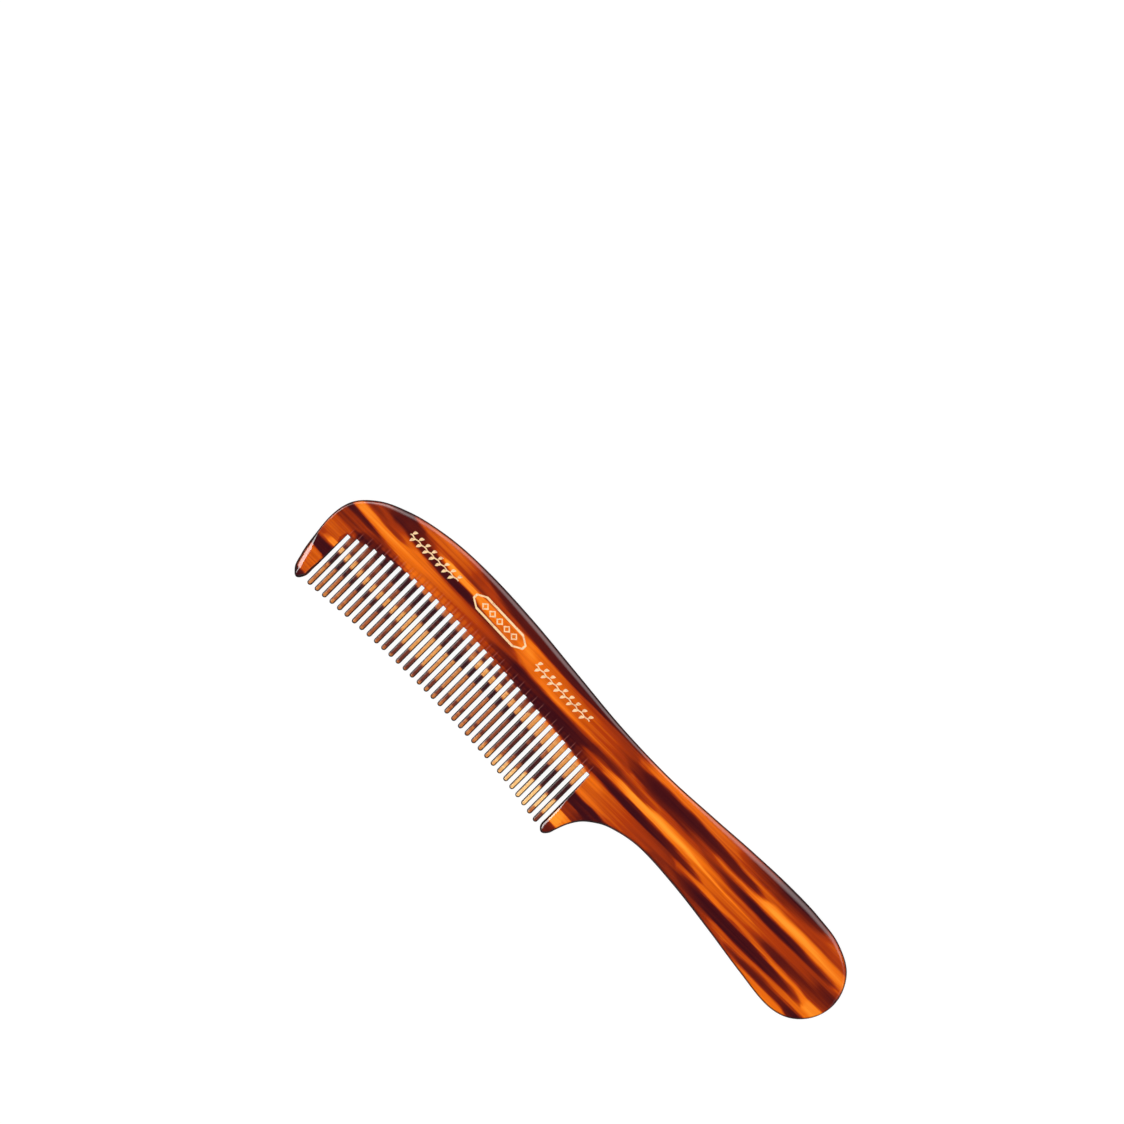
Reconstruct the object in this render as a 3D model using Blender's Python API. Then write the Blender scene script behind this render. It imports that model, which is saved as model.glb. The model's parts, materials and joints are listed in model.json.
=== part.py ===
"""A handled dressing comb, sawn from one sheet of tortoiseshell cellulose acetate.

The comb lies flat, in metres, +Z up. +X runs from its head to the end of its handle and +Y points
to its back, so the teeth point to -Y. Its underside is on z = 0 and its stamped face is up, and
the origin is under the middle of its outline.

The shape is drawn in millimetres from the head's end (x = 0) and a datum line near the tooth roots
(y = 0). A knot is (x, y) or (x, y, heading), with the curve's heading in degrees.
"""

import math

import bmesh
import bpy
from mathutils import Vector
from mathutils.geometry import interpolate_bezier

MM = 0.001

# Overall size
LENGTH = 195.0
BACK_TOP = 22.68
GUARD_BOTTOM = -18.4
THICKNESS = 4.0
TIP_THICKNESS = 2.4
GAP = 0.3  # between neighbouring solids

# Teeth
TOOTH_COUNT = 34
TOOTH_WIDTH = 1.55
FRONT_GUARD_INNER = 6.98
REAR_GUARD_INNER = 101.75
GUARD_ROOT = 2.35
THROAT_CORNER = (113.0, -5.45)

# Rounding of the rims
POLISHED_RIM = 1.4
GUARD_RIM = 0.8
SAWN_RIM = 0.25
TOOTH_RIM = 0.4
TOOTH_TIP_RIM = 0.6
RIM_STEPS = 3
TIP_STEPS = 6

# Hot-foil marks on the upper face
FOIL_THICKNESS = 0.06
FOIL_CLEARANCE = 0.02
FOIL_LINE = 0.6

BACK_EDGE = [
    (0.0, GUARD_ROOT, 90),
    (1.6, 10.0),
    (6.5, 15.1),
    (15.0, 19.1),
    (27.0, 21.8),
    (42.0, BACK_TOP, 0),
    (60.0, 21.9),
    (80.0, 19.95),
    (100.0, 18.05),
    (117.0, 17.5, 0),
    (135.0, 18.3),
    (150.0, 19.2),
    (163.0, 19.6, 0),
    (175.0, 19.2),
    (184.0, 17.75),
    (191.6, 13.35),
    (LENGTH, 4.7, -90),
]
HANDLE_EDGE = [
    (LENGTH, 4.7, -90),
    (193.4, -1.55),
    (189.0, -6.4),
    (181.0, -8.4, 180),
    (170.0, -7.15),
    (155.0, -4.9),
    (140.0, -3.0),
    (127.5, -2.2, 180),
    (119.0, -3.2),
    (*THROAT_CORNER, 213),
]
ROOT_LINE = [
    (FRONT_GUARD_INNER, GUARD_ROOT, 20),
    (13.0, 4.2),
    (22.0, 6.05),
    (39.0, 7.2, 0),
    (60.0, 6.4),
    (80.0, 4.95),
    (92.0, 3.8),
    (REAR_GUARD_INNER, GUARD_ROOT, -11),
]
TIP_LINE = [
    (FRONT_GUARD_INNER, -15.15),
    (25.0, -13.95),
    (45.0, -13.3, 0),
    (70.0, -14.1),
    (86.0, -15.45),
    (REAR_GUARD_INNER, -18.0),
]
# Both guards start GAP short of the back
FRONT_GUARD = [
    (FRONT_GUARD_INNER, GUARD_ROOT - GAP, -90),
    (6.9, -11.0, -92),
    (6.4, -14.4),
    (5.1, -15.9, 180),
    (3.2, -14.6),
    (1.6, -10.3),
    (0.5, -3.5),
    (0.0, GUARD_ROOT - GAP, 90),
]
REAR_GUARD = [
    (112.74, -5.62, 213),
    (109.0, -8.65),
    (107.1, -11.6),
    (105.8, -15.2),
    (103.3, GUARD_BOTTOM, 180),
    (101.85, -16.9),
    (REAR_GUARD_INNER, -14.5, 90),
    (REAR_GUARD_INNER, 1.98, 90),
]


def clear_scene():
    for old in list(bpy.data.objects):
        bpy.data.objects.remove(old)


def make_material(name, colour, roughness, metallic=0.0):
    material = bpy.data.materials.new(name)
    material.use_nodes = True
    shader = material.node_tree.nodes["Principled BSDF"]
    shader.inputs["Base Color"].default_value = (*colour, 1.0)
    shader.inputs["Roughness"].default_value = roughness
    shader.inputs["Metallic"].default_value = metallic
    return material


def headings(knots):
    """The curve's unit direction at each knot: its stated heading, or one between its neighbours."""
    places = [Vector(knot[:2]) for knot in knots]
    found = []
    for index, knot in enumerate(knots):
        if len(knot) == 3:
            angle = math.radians(knot[2])
            found.append(Vector((math.cos(angle), math.sin(angle))))
            continue
        before = places[index] - places[max(index - 1, 0)]
        after = places[min(index + 1, len(knots) - 1)] - places[index]
        # The shorter side counts for more, as on a drawn curve
        bend = before.normalized() * after.length + after.normalized() * before.length
        found.append((bend if bend.length else before + after).normalized())
    return places, found


def drawn(knots, steps=5):
    """Points along a smooth open curve through the knots."""
    places, directions = headings(knots)
    points = []
    for index in range(len(knots) - 1):
        start, end = places[index], places[index + 1]
        reach = (end - start).length / 3
        points += interpolate_bezier(
            start,
            start + directions[index] * reach,
            end - directions[index + 1] * reach,
            end,
            steps + 1,
        )[:-1]
    points.append(places[-1])
    return [Vector(point[:2]) for point in points]


def height_at(curve, x):
    """Height at x of a curve that runs towards +X."""
    for near, far in zip(curve, curve[1:]):
        if near.x <= x <= far.x:
            return near.y + (far.y - near.y) * (x - near.x) / (far.x - near.x)
    raise ValueError(f"the curve doesn't reach x = {x}")


def rimmed(points, radius):
    """Outline points, each with the rounding of the rim there."""
    return [(point, radius) for point in points]


def inward_normals(points):
    """Mitred normals that point into a clockwise outline."""
    normals = []
    for index, point in enumerate(points):
        before = (point - points[index - 1]).normalized()
        after = (points[(index + 1) % len(points)] - point).normalized()
        first = Vector((before.y, -before.x))
        second = Vector((after.y, -after.x))
        normals.append((first + second) / (1 + first.dot(second)))
    return normals


def full_thickness(_point):
    return THICKNESS / 2


def wedge(root_start, root_end, tip):
    """Half the thickness at a point: full on the root line, thinning evenly towards the tip."""
    along = (Vector(root_end) - Vector(root_start)).normalized()

    def depth(point):
        offset = Vector(point) - Vector(root_start)
        return abs(along.x * offset.y - along.y * offset.x)

    slope = (THICKNESS - TIP_THICKNESS) / 2 / depth(tip)
    return lambda point: THICKNESS / 2 - slope * depth(point)


def rim_rings(outline, half_thickness):
    """Rings of (x, y, height) over the rim, from the lower face round to the upper face."""
    points = [point for point, _radius in outline]
    quarter = [math.radians(90) * step / RIM_STEPS for step in range(RIM_STEPS + 1)]
    turns = [(-1, angle) for angle in reversed(quarter)] + [(1, angle) for angle in quarter]
    rings = []
    for face, angle in turns:
        ring = []
        for (point, radius), normal in zip(outline, inward_normals(points)):
            place = point + normal * radius * (1 - math.cos(angle))
            height = half_thickness(place) - radius * (1 - math.sin(angle))
            ring.append((place.x, place.y, face * height))
        rings.append(ring)
    return rings


def add_object(name, mesh, origin, material, parent):
    """An object whose mesh is built in millimetres from the origin it is given."""
    bmesh.ops.recalc_face_normals(mesh, faces=mesh.faces)
    bmesh.ops.translate(mesh, verts=mesh.verts, vec=-Vector(origin))
    bmesh.ops.scale(mesh, verts=mesh.verts, vec=(MM, MM, MM))
    data = bpy.data.meshes.new(name)
    mesh.to_mesh(data)
    mesh.free()
    data.shade_smooth()
    data.set_sharp_from_angle(angle=math.radians(50))
    data.materials.append(material)
    piece = bpy.data.objects.new(name, data)
    piece.location = Vector(origin) * MM
    piece.parent = parent
    bpy.context.scene.collection.objects.link(piece)
    return piece


def rounded_slab(name, outline, half_thickness, origin, material, parent):
    """A closed slab with a rounded rim, on both sides of the comb's middle plane."""
    mesh = bmesh.new()
    rings = [
        [mesh.verts.new((x, y, THICKNESS / 2 + height)) for x, y, height in ring]
        for ring in rim_rings(outline, half_thickness)
    ]
    count = len(outline)
    for lower, upper in zip(rings, rings[1:]):
        for index in range(count):
            after = (index + 1) % count
            mesh.faces.new((lower[index], lower[after], upper[after], upper[index]))
    mesh.faces.new(rings[0])
    mesh.faces.new(rings[-1])
    return add_object(name, mesh, origin, material, parent)


def foil_film(name, loops, origin, material, parent):
    """A thin film over the upper face: one outline, or an outer and an inner one of equal count."""
    mesh = bmesh.new()
    base = THICKNESS + FOIL_CLEARANCE
    levels = [
        [[mesh.verts.new((p.x, p.y, z)) for p in loop] for loop in loops]
        for z in (base, base + FOIL_THICKNESS)
    ]
    count = len(loops[0])
    for index in range(count):
        after = (index + 1) % count
        for lower, upper in zip(*levels):
            mesh.faces.new((lower[index], lower[after], upper[after], upper[index]))
        if len(loops) == 2:
            for outer, inner in levels:
                mesh.faces.new((outer[index], outer[after], inner[after], inner[index]))
    if len(loops) == 1:
        for (loop,) in levels:
            mesh.faces.new(loop)
    return add_object(name, mesh, origin, material, parent)


def placed(points, centre, slope):
    """Points drawn round (0, 0), turned by a slope in degrees and moved to their centre."""
    angle = math.radians(slope)
    turned = []
    for x, y in points:
        along = x * math.cos(angle) - y * math.sin(angle)
        across = x * math.sin(angle) + y * math.cos(angle)
        turned.append(Vector((centre[0] + along, centre[1] + across)))
    return turned


def lozenge_chain(length, height, count):
    """The outline of a row of lozenges, joined by a fine line."""
    pitch = length / count
    line = FOIL_LINE / 4
    waist = pitch * 0.08
    upper = [(-length / 2, 0.0)]
    for index in range(count):
        start = -length / 2 + pitch * index
        upper.append((start + pitch / 2, height / 2))
        if index < count - 1:
            upper.append((start + pitch - waist, line))
            upper.append((start + pitch + waist, line))
    upper.append((length / 2, 0.0))
    lower = [(x, -y) for x, y in reversed(upper[1:-1])]
    return upper + lower


def pointed_frame(length, height):
    """The outline of a long frame with blunt pointed ends."""
    shoulder = length / 2 - height * 0.6
    nose = height * 0.16
    right = [(shoulder, height / 2), (length / 2, nose), (length / 2, -nose), (shoulder, -height / 2)]
    return right + [(-x, -y) for x, y in right]


def build_back(acetate, comb):
    """The back and the handle, down to the tooth roots and to the guards' roots."""
    outline = rimmed(drawn(BACK_EDGE)[:-1], POLISHED_RIM)
    outline += rimmed(drawn(HANDLE_EDGE)[:-1], POLISHED_RIM)
    outline += rimmed([Vector(THROAT_CORNER)], SAWN_RIM)
    outline += rimmed(reversed(drawn(ROOT_LINE)), SAWN_RIM)
    outline[0] = (outline[0][0], SAWN_RIM)
    rounded_slab("back_and_handle", outline, full_thickness, (0, 0, 0), acetate, comb)


def build_guards(acetate, comb):
    """The thick end teeth that protect the fine ones."""
    for name, knots, tip in (
        ("guard_tooth_front", FRONT_GUARD, (5.1, -15.9)),
        ("guard_tooth_rear", REAR_GUARD, (103.3, GUARD_BOTTOM)),
    ):
        points = drawn(knots, steps=4)
        outline = rimmed(points, GUARD_RIM)
        outline[0] = (points[0], SAWN_RIM)
        outline[-1] = (points[-1], SAWN_RIM)
        origin = (*((points[0] + points[-1]) / 2), THICKNESS / 2)
        half_thickness = wedge(points[0], points[-1], tip)
        rounded_slab(name, outline, half_thickness, origin, acetate, comb)


def tooth_outline(left, right, roots, tips):
    """One tooth between its left and right sides: its root corners, its tip and its rimmed outline."""
    half_width = (right - left) / 2
    middle = left + half_width
    left_root = Vector((left, height_at(roots, left) - GAP))
    right_root = Vector((right, height_at(roots, right) - GAP))
    tip = Vector((middle, height_at(tips, middle)))
    arc = []
    for step in range(TIP_STEPS + 1):
        turn = math.radians(180) * step / TIP_STEPS
        across, down = half_width * math.cos(turn), half_width * math.sin(turn)
        arc.append(Vector((middle + across, tip.y + half_width - down)))
    outline = rimmed([left_root, right_root], SAWN_RIM) + rimmed(arc[:1], TOOTH_RIM)
    outline += rimmed(arc[1:-1], TOOTH_TIP_RIM) + rimmed(arc[-1:], TOOTH_RIM)
    return left_root, right_root, tip, outline


def build_teeth(acetate, comb):
    """The fine teeth: parallel, wedge-thinned and round at the tip."""
    roots, tips = drawn(ROOT_LINE), drawn(TIP_LINE)
    pitch = (REAR_GUARD_INNER - FRONT_GUARD_INNER + TOOTH_WIDTH) / (TOOTH_COUNT + 1)
    slot_width = pitch - TOOTH_WIDTH
    for index in range(TOOTH_COUNT):
        left = FRONT_GUARD_INNER + slot_width + pitch * index
        left_root, right_root, tip, outline = tooth_outline(left, left + TOOTH_WIDTH, roots, tips)
        origin = (tip.x, (left_root.y + right_root.y) / 2, THICKNESS / 2)
        half_thickness = wedge(left_root, right_root, tip)
        rounded_slab(f"tooth_{index + 1:02}", outline, half_thickness, origin, acetate, comb)


def build_foil(foil, comb):
    """Plain ornaments in hot foil along the back."""
    marks = (
        ("foil_mark_front", [lozenge_chain(18.8, 3.0, 6)], (28.7, 15.0), 0),
        ("foil_cartouche", [pointed_frame(20.2, 4.8), pointed_frame(18.8, 3.6)], (54.1, 14.95), -2),
        ("foil_emblem", [lozenge_chain(14.0, 2.4, 3)], (54.1, 14.95), -2),
        ("foil_mark_rear", [lozenge_chain(22.0, 3.0, 7)], (80.4, 13.3), -2),
    )
    for name, loops, centre, slope in marks:
        turned = [placed(loop, centre, slope) for loop in loops]
        foil_film(name, turned, (*centre, THICKNESS), foil, comb)


def main():
    clear_scene()
    comb = bpy.data.objects.new("comb", None)
    bpy.context.scene.collection.objects.link(comb)
    comb.location = (-LENGTH / 2 * MM, -(BACK_TOP + GUARD_BOTTOM) / 2 * MM, 0)
    acetate = make_material("tortoiseshell_acetate", (0.42, 0.09, 0.012), 0.18)
    foil = make_material("pale_gold_foil", (0.86, 0.72, 0.48), 0.35, metallic=0.6)
    build_back(acetate, comb)
    build_guards(acetate, comb)
    build_teeth(acetate, comb)
    build_foil(foil, comb)


main()
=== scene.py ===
"""A handled dressing comb in streaked tortoiseshell acetate, lying on a white light table.

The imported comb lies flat, in metres, with +X from its head to its handle's end and +Y to its back.
The comb is drawn here in millimetres, as in its CAD: x from the head's end, y from a datum line near
the tooth roots, z from the underside. A knot is (x, y) or (x, y, heading), in degrees.

The acetate is sawn from one sheet, so one seamless mesh stands for the CAD's back, guards and teeth.
Its pattern is painted streak by streak in shader nodes. A streak's station is (x, lowest y, highest y,
tone), and a tone runs from 0, clear amber, to 1, near black.
"""

import json
import math
from collections import namedtuple

import bmesh
import bpy
import numpy as np
from mathutils import Matrix, Vector
from mathutils.geometry import delaunay_2d_cdt, interpolate_bezier

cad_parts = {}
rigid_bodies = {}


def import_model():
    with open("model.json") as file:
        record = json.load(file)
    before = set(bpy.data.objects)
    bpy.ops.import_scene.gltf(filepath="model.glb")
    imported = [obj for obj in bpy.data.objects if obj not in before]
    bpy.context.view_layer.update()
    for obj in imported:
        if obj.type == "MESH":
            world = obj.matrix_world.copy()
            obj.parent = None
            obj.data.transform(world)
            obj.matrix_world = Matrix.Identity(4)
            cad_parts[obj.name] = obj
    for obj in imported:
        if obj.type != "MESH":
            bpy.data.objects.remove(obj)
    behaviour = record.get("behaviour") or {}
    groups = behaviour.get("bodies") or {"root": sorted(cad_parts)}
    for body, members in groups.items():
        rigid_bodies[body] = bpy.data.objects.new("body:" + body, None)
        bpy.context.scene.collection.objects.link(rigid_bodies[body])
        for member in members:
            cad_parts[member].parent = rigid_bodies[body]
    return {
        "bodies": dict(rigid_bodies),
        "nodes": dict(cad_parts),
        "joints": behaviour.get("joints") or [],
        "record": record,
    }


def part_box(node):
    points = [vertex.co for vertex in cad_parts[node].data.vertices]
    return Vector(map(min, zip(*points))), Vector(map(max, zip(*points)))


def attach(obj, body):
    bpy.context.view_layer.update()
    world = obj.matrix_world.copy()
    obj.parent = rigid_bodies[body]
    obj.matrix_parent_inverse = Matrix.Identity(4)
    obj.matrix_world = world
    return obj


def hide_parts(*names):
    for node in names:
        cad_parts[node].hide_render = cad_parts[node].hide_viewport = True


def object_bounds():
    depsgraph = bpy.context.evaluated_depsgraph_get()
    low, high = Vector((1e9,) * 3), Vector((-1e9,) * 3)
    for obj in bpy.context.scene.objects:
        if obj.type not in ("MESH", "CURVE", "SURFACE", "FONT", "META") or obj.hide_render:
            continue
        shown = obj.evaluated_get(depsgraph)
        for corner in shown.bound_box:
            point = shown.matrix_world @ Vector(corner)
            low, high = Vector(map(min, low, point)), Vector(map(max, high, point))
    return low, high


MM = 0.001
BODY = "root"

# ---------------------------------------------------------------- the comb's drawing
THICKNESS = 4.0
TIP_THICKNESS = 2.4
BACK_TOP = 22.68
GUARD_BOTTOM = -18.4
TOOTH_COUNT = 34
FRONT_GUARD_INNER = 6.98
REAR_GUARD_INNER = 101.75
GUARD_ROOT = 2.35
THROAT_CORNER = (113.05, -5.53)
FRONT_GUARD_TIP = -15.9
REAR_GUARD_FOOT = (103.3, GUARD_BOTTOM)  # how deep the rear guard reaches is measured here
THINNING_EASE = 1.0  # mm below the roots over which the thinning sets in

BACK_EDGE = [
    (0.0, GUARD_ROOT, 90),
    (1.6, 10.0),
    (6.5, 15.1),
    (15.0, 19.1),
    (27.0, 21.8),
    (42.0, BACK_TOP, 0),
    (60.0, 21.9),
    (80.0, 19.95),
    (100.0, 18.05),
    (117.0, 17.5, 0),
    (135.0, 18.3),
    (150.0, 19.2),
    (163.0, 19.6, 0),
    (175.0, 19.2),
    (184.0, 17.75),
    (191.6, 13.35),
    (195.0, 4.7, -90),
]
HANDLE_EDGE = [
    (195.0, 4.7, -90),
    (193.4, -1.6),
    (188.9, -6.4),
    (181.2, -8.4, 180),
    (170.0, -7.15),
    (155.0, -4.9),
    (140.0, -3.0),
    (127.5, -2.2, 180),
    (119.0, -3.28),
    (*THROAT_CORNER, 213),
]
REAR_GUARD = [
    (*THROAT_CORNER, 213),
    (109.08, -8.7),
    (107.18, -11.62),
    (105.75, -15.2),
    (105.05, -17.1),
    (103.4, GUARD_BOTTOM, 180),
    (102.15, -17.55),
    (REAR_GUARD_INNER, -14.5, 90),
]
FRONT_GUARD = [
    (6.9, -11.0, -92),
    (6.6, -14.2),
    (5.0, FRONT_GUARD_TIP, 180),
    (3.35, -14.75),
    (1.6, -10.3),
    (0.5, -3.5),
    (0.0, GUARD_ROOT, 90),
]
ROOT_LINE = [
    (FRONT_GUARD_INNER, GUARD_ROOT, 20),
    (13.0, 4.2),
    (22.0, 6.05),
    (39.0, 7.2, 0),
    (60.0, 6.4),
    (80.0, 4.95),
    (92.0, 3.8),
    (REAR_GUARD_INNER, GUARD_ROOT, -11),
]
TIP_LINE = [
    (FRONT_GUARD_INNER, -15.15),
    (25.0, -13.95),
    (45.0, -13.3, 0),
    (70.0, -14.1),
    (86.0, -15.45),
    (REAR_GUARD_INNER, -18.0),
]

# ---------------------------------------------------------------- the polished rims
# A rim turns from the side wall, tilted 90 degrees, to the face, through these tilts
TILTS = (90, 75, 58, 42, 34, 26, 18, 9, 0)
KNEE = 42  # where the tight corner gives way to the broad polished round
FACET_SHARES = {42: 0.0, 34: 0.06, 26: 0.12, 18: 0.93, 9: 0.97, 0: 1.0}
Rim = namedtuple("Rim", "width corner facet")
RIM_WIDTHS = [
    (0.0, 0.7),
    (1.6, 1.0),
    (6.5, 1.4),
    (15.0, 1.7),
    (27.0, 1.5),
    (42.0, 1.5),
    (60.0, 1.8),
    (72.0, 1.8),
    (85.0, 1.5),
    (100.0, 1.2),
    (117.0, 1.0),
    (135.0, 1.5),
    (150.0, 2.1),
    (163.0, 2.3),
    (175.0, 2.0),
    (184.0, 1.6),
    (191.6, 1.3),
    (195.0, 1.0),
]
EDGE_CORNER = 1.05
LOWER_RIM = Rim(1.1, EDGE_CORNER, 0.0)
HANDLE_LOWER_RIM = Rim(0.8, 0.65, 0.0)
GUARD_OUTER_RIM = Rim(0.8, EDGE_CORNER, 0.0)
FRONT_EDGE_RIM = Rim(0.45, EDGE_CORNER, 0.0)
FRONT_FACET_RIM = Rim(1.8, 1.4, 1.0)
REAR_FACET_RIM = Rim(1.0, 1.35, 1.0)
GUARD_INNER_RIM = Rim(0.42, 0.85, 0.0)
FRONT_TIP_RIM = Rim(0.85, 1.9, 0.0)
SLOT_RIM = Rim(0.28, 0.25, 0.0)
TOOTH_RIM = Rim(0.5, 0.7, 0.0)
TOOTH_RIM_REACH = 2.5  # over which a tooth's rim grows from the slot's
# Where one rim starts to give way to the next, and over how far: in x for the handle and the guards'
# sides, and in y for the rest
HANDLE_NARROWING = (145.0, 20.0)
REAR_INNER_SIDE = (102.6, 0.8)
FRONT_OUTER_SIDE = (5.4, 1.2)
GUARD_RIM_START = (1.5, 3.0)
REAR_FACET_START = (-6.5, 4.0)
FRONT_FACET_START = (-2.8, 5.0)
FRONT_FACET_END = (-15.6, 1.6)
FRONT_TIP_START = (-6.0, 6.0)
DRIFT_KNOTS = (8.0, 14.0, 54.0, 66.0)
SAW_DRIFT = -0.2  # of the teeth between the middle two knots
TOOTH_TAPER = 0.02  # how far each side of a tooth draws in towards its tip
SLOT_FILLET = 0.2
CURVE_SPACING = 0.8
GUARD_SPACING = 0.5
WALL_FIRST_DROPS = (0.4, 1.0, 1.8)
WALL_STEP = 1.6
WALL_LAST_STEP = 2.4
FILL_SPACING = 2.0
SLOT_ROW_MARGIN = 1.0
TIP_ARC_STEPS = 10
CORNER_ARC_STEPS = 3

# The saw's run-out above each slot: a fine kite-shaped groove
KITE_BASE = 0.34
KITE_SHOULDER = 0.8
KITE_TOP = 2.3
KITE_HALF_WIDTH = 0.17
KITE_DEPTH = 0.14
KITE_CLEARANCE = 0.6

TRIANGLES_INSIDE = 1  # the triangulation keeps what is inside the outer ring
MERGE_DISTANCE = 1e-5
SHARP_ANGLE = 30
FOIL_SHARP_ANGLE = 20


def headings(knots):
    """The curve's unit direction at each knot: its stated heading, or one between its neighbours."""
    places = [Vector(knot[:2]) for knot in knots]
    found = []
    for index, knot in enumerate(knots):
        if len(knot) == 3:
            angle = math.radians(knot[2])
            found.append(Vector((math.cos(angle), math.sin(angle))))
            continue
        before = places[index] - places[max(index - 1, 0)]
        after = places[min(index + 1, len(knots) - 1)] - places[index]
        bend = before.normalized() * after.length + after.normalized() * before.length
        found.append((bend if bend.length else before + after).normalized())
    return places, found


def drawn(knots, spacing=CURVE_SPACING):
    """Points about one spacing apart along a smooth open curve through the knots."""
    places, directions = headings(knots)
    points = []
    for index in range(len(knots) - 1):
        start, end = places[index], places[index + 1]
        span = (end - start).length
        reach = span / 3
        steps = max(3, math.ceil(span / spacing))
        points += interpolate_bezier(
            start,
            start + directions[index] * reach,
            end - directions[index + 1] * reach,
            end,
            steps + 1,
        )[:-1]
    points.append(places[-1])
    return [Vector(point[:2]) for point in points]


def curve_height(curve):
    """A function that gives the height at x of a curve that runs towards +X."""
    xs = [point.x for point in curve]
    ys = [point.y for point in curve]
    return lambda x: float(np.interp(x, xs, ys))


root_height = curve_height(drawn(ROOT_LINE))
tip_height = curve_height(drawn(TIP_LINE))


def drop_below_roots(x, y):
    """How far a place is below the root line, and how far the tips there are."""
    if x < FRONT_GUARD_INNER:
        return GUARD_ROOT - y, GUARD_ROOT - FRONT_GUARD_TIP
    if x < REAR_GUARD_INNER:
        return root_height(x) - y, root_height(x) - tip_height(x)
    start = Vector((REAR_GUARD_INNER, GUARD_ROOT))
    along = (Vector(THROAT_CORNER) - start).normalized()
    tip = Vector(REAR_GUARD_FOOT) - start
    offset = Vector((x, y)) - start
    return offset.x * along.y - offset.y * along.x, tip.x * along.y - tip.y * along.x


def half_thickness(x, y):
    """Half the sheet's thickness: full on the back, and thinned below the root line to the tips."""
    drop, reach = drop_below_roots(x, y)
    drop = max(drop, 0.0)
    eased = drop * drop / (drop + THINNING_EASE)
    eased_reach = reach * reach / (reach + THINNING_EASE)
    return THICKNESS / 2 - (THICKNESS - TIP_THICKNESS) / 2 * eased / eased_reach


def mixed(first, second, share):
    """A rim between two others."""
    share = min(max(share, 0.0), 1.0)
    return Rim(*(a + (b - a) * share for a, b in zip(first, second)))


def drop_share(value, span):
    """How far a value has dropped below the span's start, as a share of the span's reach."""
    start, reach = span
    return (start - value) / reach


def back_rim(point):
    """The rim along the back, whose width changes with x."""
    xs, widths = zip(*RIM_WIDTHS)
    return Rim(float(np.interp(point.x, xs, widths)), EDGE_CORNER, 0.0)


def lower_rim(point):
    """The rim along the throat and the handle's lower edge."""
    return mixed(LOWER_RIM, HANDLE_LOWER_RIM, -drop_share(point.x, HANDLE_NARROWING))


def rear_guard_rim(point):
    """The rear guard's rim: round outside, and ground to a facet low on the inside."""
    upper_rim = mixed(SLOT_RIM, GUARD_INNER_RIM, drop_share(point.y, GUARD_RIM_START))
    inner_rim = mixed(upper_rim, REAR_FACET_RIM, drop_share(point.y, REAR_FACET_START))
    return mixed(GUARD_OUTER_RIM, inner_rim, drop_share(point.x, REAR_INNER_SIDE))


def front_guard_rim(point):
    """The front guard's rim: ground to a facet low on the outside, and round inside."""
    low = min(drop_share(point.y, FRONT_FACET_START), -drop_share(point.y, FRONT_FACET_END))
    edge = mixed(FRONT_EDGE_RIM, FRONT_FACET_RIM, low)
    upper_rim = mixed(SLOT_RIM, GUARD_INNER_RIM, drop_share(point.y, GUARD_RIM_START))
    inner_rim = mixed(upper_rim, FRONT_TIP_RIM, drop_share(point.y, FRONT_TIP_START))
    return mixed(inner_rim, edge, drop_share(point.x, FRONT_OUTER_SIDE))


def arc(centre, radius, start, end, steps):
    """Points on an arc between two angles in degrees."""
    points = []
    for step in range(steps + 1):
        angle = math.radians(start + (end - start) * step / steps)
        points.append(Vector((centre[0] + radius * math.cos(angle), centre[1] + radius * math.sin(angle))))
    return points


def slot_end(left, right):
    """The rounded square end of a saw cut, from its right wall over to its left wall."""
    height = root_height((left + right) / 2)
    level = height - SLOT_FILLET
    points = arc((right - SLOT_FILLET, level), SLOT_FILLET, 0, 90, CORNER_ARC_STEPS)
    points += arc((left + SLOT_FILLET, level), SLOT_FILLET, 90, 180, CORNER_ARC_STEPS)
    return [(point, SLOT_RIM) for point in points]


def slot_wall(x, top, bottom, draw=0.0):
    """Points down one side of a slot, without its ends, moved by a draw along x at the foot."""
    drops = list(WALL_FIRST_DROPS)
    while top - bottom - drops[-1] > WALL_LAST_STEP:
        drops.append(drops[-1] + WALL_STEP)
    points = []
    for drop in drops:
        place = Vector((x + draw * drop / (top - bottom), top - drop))
        points.append((place, mixed(SLOT_RIM, TOOTH_RIM, drop / TOOTH_RIM_REACH)))
    return points


def saw_drift(x):
    """How far the hand-guided saw has wandered along the row at x."""
    return float(np.interp(x, DRIFT_KNOTS, (0.0, SAW_DRIFT, SAW_DRIFT, 0.0)))


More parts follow.
